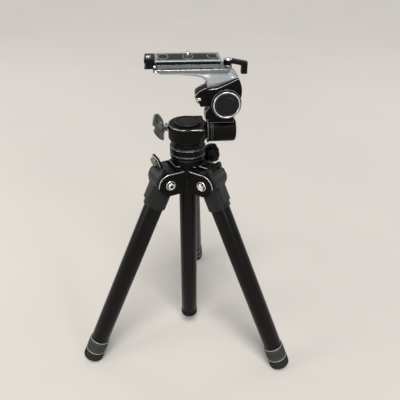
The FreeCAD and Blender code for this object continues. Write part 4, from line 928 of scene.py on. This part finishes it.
def add_neck():
    """The collar and grooves at the barrel's inner end, and bright beads that paint the highlights on the
    collar's rim and the tongue's edges.
    """
    place = along("side_tilt")
    corners = [(9.6, -16.6, 0.1), (14.5, -16.6, 0.4), (15.2, -16, 0.3), (15.2, -14.9, 0.3),
               (14.2, -14.3, 0.2), (9.6, -14.3, 0.1)]
    add_piece("neck_collar", hoop(place, corners), "side_tilt", "black_cast_paint", sharp=50, loop=True)
    bead("neck_collar_rim", place, 14.9, -16.2, 0.35, "edge_highlight_paint", "side_tilt")
    for height, name in ((-12.4, "inner"), (-10.2, "outer")):
        bead("neck_ring_" + name, place, 13.9, height, 0.4, "dark_steel", "side_tilt")
    line = smooth_line([(-19.2, 16.6, 0), (-19.2, 25.4, 1.5), (-16.4, 28.2, 0)], 24)
    for side, name in SIDES:
        strip("tongue_edge_" + name, head_place("side_tilt"), line, side * 6.9, 0.4, "edge_highlight_paint",
              "side_tilt")


def add_drum():
    """A black drum with three rims round a domed disc."""
    place = along("tilt", (1, 0, 0))
    place[:3, 1:3] *= -1
    high = local_range("drum_ring", place)[1][2]
    foot = high - 4.4
    corners = [(0.01, foot, 0), (17.2, foot, 0), (17.2, foot + 1.6, 0.5), (15.9, foot + 2, 0.4),
               (15.9, high - 0.3, 0.5), (12.6, high - 0.3, 0.3), (12.5, high - 1.6, 0.2),
               (0.01, high - 1.6, 0)]
    case = turned(place, corners, segments=120)
    add_piece("drum_case", case, "side_tilt", "black_cast_paint", "drum_ring", 50)
    # The outer and bright rims are lighter metals that paint the highlights on the drum's edges; the inner
    # rim is dark steel.
    for name, radius, height, width, finish in (
            ("outer", 17, foot + 1.6, 0.24, "edge_highlight_paint"),
            ("bright", 14.7, high - 0.4, 0.95, "platform_edge_highlight"),
            ("inner", 12.4, high - 0.6, 0.25, "dark_steel")):
        bead(f"drum_{name}_rim", place, radius, height, width, finish, "side_tilt", 120)
    corners = [(0.01, high - 2, 0), (12.2, high - 2, 0), (12.2, high - 1.1, 0.3), (9.8, high - 0.7, 1.2),
               (8.4, high - 0.15, 0.8), (0.01, high - 0.1, 0)]
    add_piece("drum_domed_disc", turned(place, corners), "side_tilt", "drum_disc_moulding", "drum_disc")


class TRIPOD_OT_tilt(Operator):
    """Side tilt barrel, tilt casting, drum and platform arm"""
    bl_idname = "tripod.tilt"
    bl_label = "Tilt head"

    def execute(self, context):
        width = context.scene.tripod_finish.casting_round
        soft_casting("side_tilt_body", width)
        soft_casting("tilt_shell", width)
        add_arm()
        add_neck()
        for side, name in SIDES:
            boss = pillow(head_place("tilt"), (-30.6, side * 8.4, 3.2), (2.4, 1.5, 1.9), 0.6)
            add_piece("socket_boss_" + name, boss, "tilt", "socket_metal")
        add_drum()
        dress("black_moulding", "tilt_axle_cover")
        dress("polished_steel", "tilt_axle", "side_tilt_spindle")
        dress("socket_metal", "handle_socket_insert")
        return {"FINISHED"}


def add_clamp_trim():
    """A bright bead that paints a highlight line and a black bead that paints a groove's shade along each
    side of the clamp, and its catch pins.
    """
    place = head_place("tilt")
    low, high = local_range("clamp_base", place)
    for side, name in SIDES:
        # line: a bright bead that paints a highlight; groove: a black bead that paints the shade of a groove.
        for label, height, finish in (("line", 39.4, "platform_edge_highlight"), ("groove", 40.7, "black_moulding")):
            line = straight_line([(low[0] + 7.2, height), (high[0] - 21.6, height)], 30)
            strip(f"clamp_{label}_{name}", place, line, side * (high[1] - 0.3), 0.5, finish, "tilt")
        for label, x, z in (("upper", -79.6, 43.4), ("lower", -78.6, 37.4)):
            pin = pillow(place, (x, side * 16, z), (1.7, 1.5, 1.7), 0.9)
            add_piece(f"catch_pin_{label}_{name}", pin, "tilt", "polished_steel")


def add_lever_pin():
    """The domed cap of the lever's pin, and the sleeve round the pin under the lever."""
    place = along("clamp_lever_turn", (1, 0, 0))
    (_, _, under), (_, _, top) = local_range("clamp_lever", place)
    corners = [(0.01, top - 0.4, 0), (4.9, top - 0.4, 0), (5, top + 0.2, 0.3), (4.2, top + 1, 0.7),
               (1.6, top + 1.3, 0.6), (0.01, top + 1.3, 0)]
    add_piece("lever_pin_cap", turned(place, corners, 6, 0.6, 64), "lever", "polished_steel")
    under -= 0.1
    corners = [(0.01, under - 5.6, 0), (5.4, under - 5.6, 0.3), (5.4, under, 0.3), (0.01, under, 0)]
    add_piece("lever_post_sleeve", turned(place, corners, 6, 0.6, 64), "tilt", "black_moulding")


def add_plate():
    """The plate as a rounded slab with a bright band round its edge, on a dark block that paints the shade in
    the gap under it.
    """
    place = head_place("tilt")
    low, high = local_range("release_plate", place)
    left, right, top = low[0], high[0], high[2]
    # A black block that paints the shade in the gap between the plate and the rails.
    gap_shade = slab(place, (left + 1.2, top - 4.2), (right - 1.2, top - 0.9), 16.7, 0.4)
    add_piece("plate_gap_shade", gap_shade, "plate", "black_moulding", sharp=40)
    plate = slab(place, (left, top - 1.1), (right, top), 17, 0.45, 5)
    add_piece("plate_slab", plate, "plate", "slab_metal", "release_plate", 40)
    for side, name in SIDES:
        line = straight_line([(left + 0.6, top - 0.35), (right - 0.6, top - 0.35)], 30)
        strip("plate_edge_" + name, place, line, side * 16.75, 0.42, "slab_metal", "plate")
    pad_low, pad_high = local_range("plate_pad", place)
    pad = slab(place, (pad_low[0], top - 0.3), (pad_high[0], pad_high[2]), 11.5, 0.2, 4)
    add_piece("pad_sheet", pad, "plate", "pad_rubber", "plate_pad", 40)
    screw_x = float(np.mean([corner[0] for corner in local_range("camera_screw", place)]))
    for x, name in ((left + 8.8, "left"), (screw_x, "middle"), (right - 8.8, "right")):
        add_oval(name, place, x, pad_high[2] - 0.05)


def add_oval(name, place, x, height):
    """A raised oval on the pad: a small circle carried round an ellipse."""
    turn = full_turn(72)
    across = full_turn(10)[:, None]
    reach_x, reach_y, width = 5.6, 10.2, 0.45
    points = np.stack([x + (reach_x + width * np.cos(across)) * np.cos(turn),
                       (reach_y + width * np.cos(across)) * np.sin(turn),
                       height + width * np.sin(across) + 0 * turn], -1)
    add_piece("pad_oval_" + name, put(points, place), "plate", "raised_oval", sharp=80, loop=True)


class TRIPOD_OT_platform(Operator):
    """Quick release clamp, plate, pad, camera screw, lever and stop"""
    bl_idname = "tripod.platform"
    bl_label = "Quick release platform"

    def execute(self, context):
        # The clamp's rounded edges take a bright metal that paints their highlights.
        soft_casting("clamp_base", 0.35, "clamp_metal", "platform_edge_highlight")
        add_plate()
        soft_casting("plate_stop", 0.3, "black_moulding")
        soft_casting("clamp_lever", 0.5, "black_moulding")
        add_clamp_trim()
        add_lever_pin()
        dress("polished_steel", "camera_screw", "lever_pin", "release_button")
        place = along("camera_screw_turn", (1, 0, 0))
        top = local_range("camera_screw", place)[1][2]
        corners = [(0.01, top - 1.6, 0), (3.15, top - 1.6, 0), (3.15, top - 0.3, 0.5), (2.2, top + 0.7, 0.8),
                   (0.01, top + 0.8, 0)]
        tip = turned(place, corners, 6, 0.4, 48)
        add_piece("camera_screw_tip", tip, "camera_screw", "polished_steel")
        return {"FINISHED"}


def add_bolt(leg, place):
    """A bolt through the fork with a washer at each end, a domed socket head and a chamfered nut."""
    corners = [(0.01, -22.4, 0), (2.3, -22.4, 0.3), (2.9, -21.8, 0.2), (2.9, 18, 0), (4.6, 18.9, 0),
               (4.6, 21.2, 0.4), (3.9, 22.4, 0.8), (2.4, 22.3, 0.2), (2.2, 20.4, 0.2), (0.01, 20.2, 0)]

    def six_lobes(angle, height, radius):
        return np.where(height > 18.5, 0.3 * np.cos(6 * angle) * np.clip(radius - 3.2, 0, 1), 0)

    bolt = turned(place, corners, 5, 1, 72, six_lobes)
    add_piece(leg + "_pivot_bolt", bolt, "spider", "bolt_chrome", "leg_pivot_bolts", 50)
    corners = [(0.01, 20.45, 0), (1.9, 20.45, 0), (1.9, 20.9, 0), (0.01, 20.8, 0)]
    # A dark hexagon in the head's recess: the socket's shade, painted.
    socket = turned(place, corners, 1, NO_MORE_POINTS, 36, six_sided(1.75))
    add_piece(leg + "_bolt_socket", socket, "spider", "painted_recess_shade", sharp=30)
    for side, name in ((1, "head"), (-1, "nut")):
        corners = [(3.1, side * 18.2, 0), (6.5, side * 18.2, 0.2), (6.5, side * 19, 0.3),
                   (5.8, side * 19.9, 0.5), (5.2, side * 19.3, 0.3), (3.1, side * 18.9, 0)]
        washer = turned(place, corners[::side], 4, NO_MORE_POINTS, 64)
        add_piece(f"{leg}_{name}_washer", washer, "spider", "bolt_chrome", sharp=50)
        # A dark bead inside each washer's rim: a painted shadow in its recess.
        bead(f"{leg}_{name}_shadow", place, 5.05, side * 19.6, 0.42, "painted_recess_shade", "spider", 64)
    corners = [(3.1, -20.9, 0), (3.6, -21.7, 0.2), (4.2, -21.7, 0.2), (5, -21, 0.2), (5, -19.2, 0),
               (3.1, -19.2, 0)]
    nut = turned(place, corners, 3, 0.5, 72, six_sided(4.25))
    add_piece(leg + "_pivot_nut", nut, "spider", "bolt_chrome", "leg_pivot_nuts", 30)


class TRIPOD_OT_fasteners(Operator):
    """Leg pivot bolts and nuts"""
    bl_idname = "tripod.fasteners"
    bl_label = "Bolts and nuts"

    def execute(self, context):
        for leg in LEGS:
            add_bolt(leg, along(leg + "_leg_fold"))
        return {"FINISHED"}


STEPS = (TRIPOD_OT_stage, TRIPOD_OT_castings, TRIPOD_OT_legs, TRIPOD_OT_column, TRIPOD_OT_pan, TRIPOD_OT_tilt,
         TRIPOD_OT_platform, TRIPOD_OT_fasteners)


class TRIPOD_PT_sidebar(Panel):
    """Every step of the tripod in the sidebar"""
    bl_idname = "TRIPOD_PT_sidebar"
    bl_label = "Camera tripod"
    bl_space_type = "VIEW_3D"
    bl_region_type = "UI"
    bl_category = "Tripod"

    def draw(self, context):
        for group, kind in GROUPS.items():
            box = self.layout.box()
            for name in kind.__annotations__:
                box.prop(getattr(context.scene, group), name)
        for step in STEPS:
            self.layout.operator(step.bl_idname)


GROUPS = {"tripod_finish": TripodFinish, "tripod_detail": TripodDetail, "tripod_studio": TripodStudio}


def register():
    for kind in tuple(GROUPS.values()) + STEPS + (TRIPOD_PT_sidebar,):
        bpy.utils.register_class(kind)
    for name, kind in GROUPS.items():
        setattr(bpy.types.Scene, name, PointerProperty(type=kind))


def unregister():
    for name in GROUPS:
        delattr(bpy.types.Scene, name)
    for kind in (TRIPOD_PT_sidebar,) + tuple(reversed(STEPS)) + tuple(GROUPS.values()):
        bpy.utils.unregister_class(kind)


def main():
    register()
    build_grain_group()
    build_dust_group()
    for step in STEPS:
        getattr(bpy.ops.tripod, step.bl_idname.split(".")[1])()


if __name__ == "__main__":
    main()
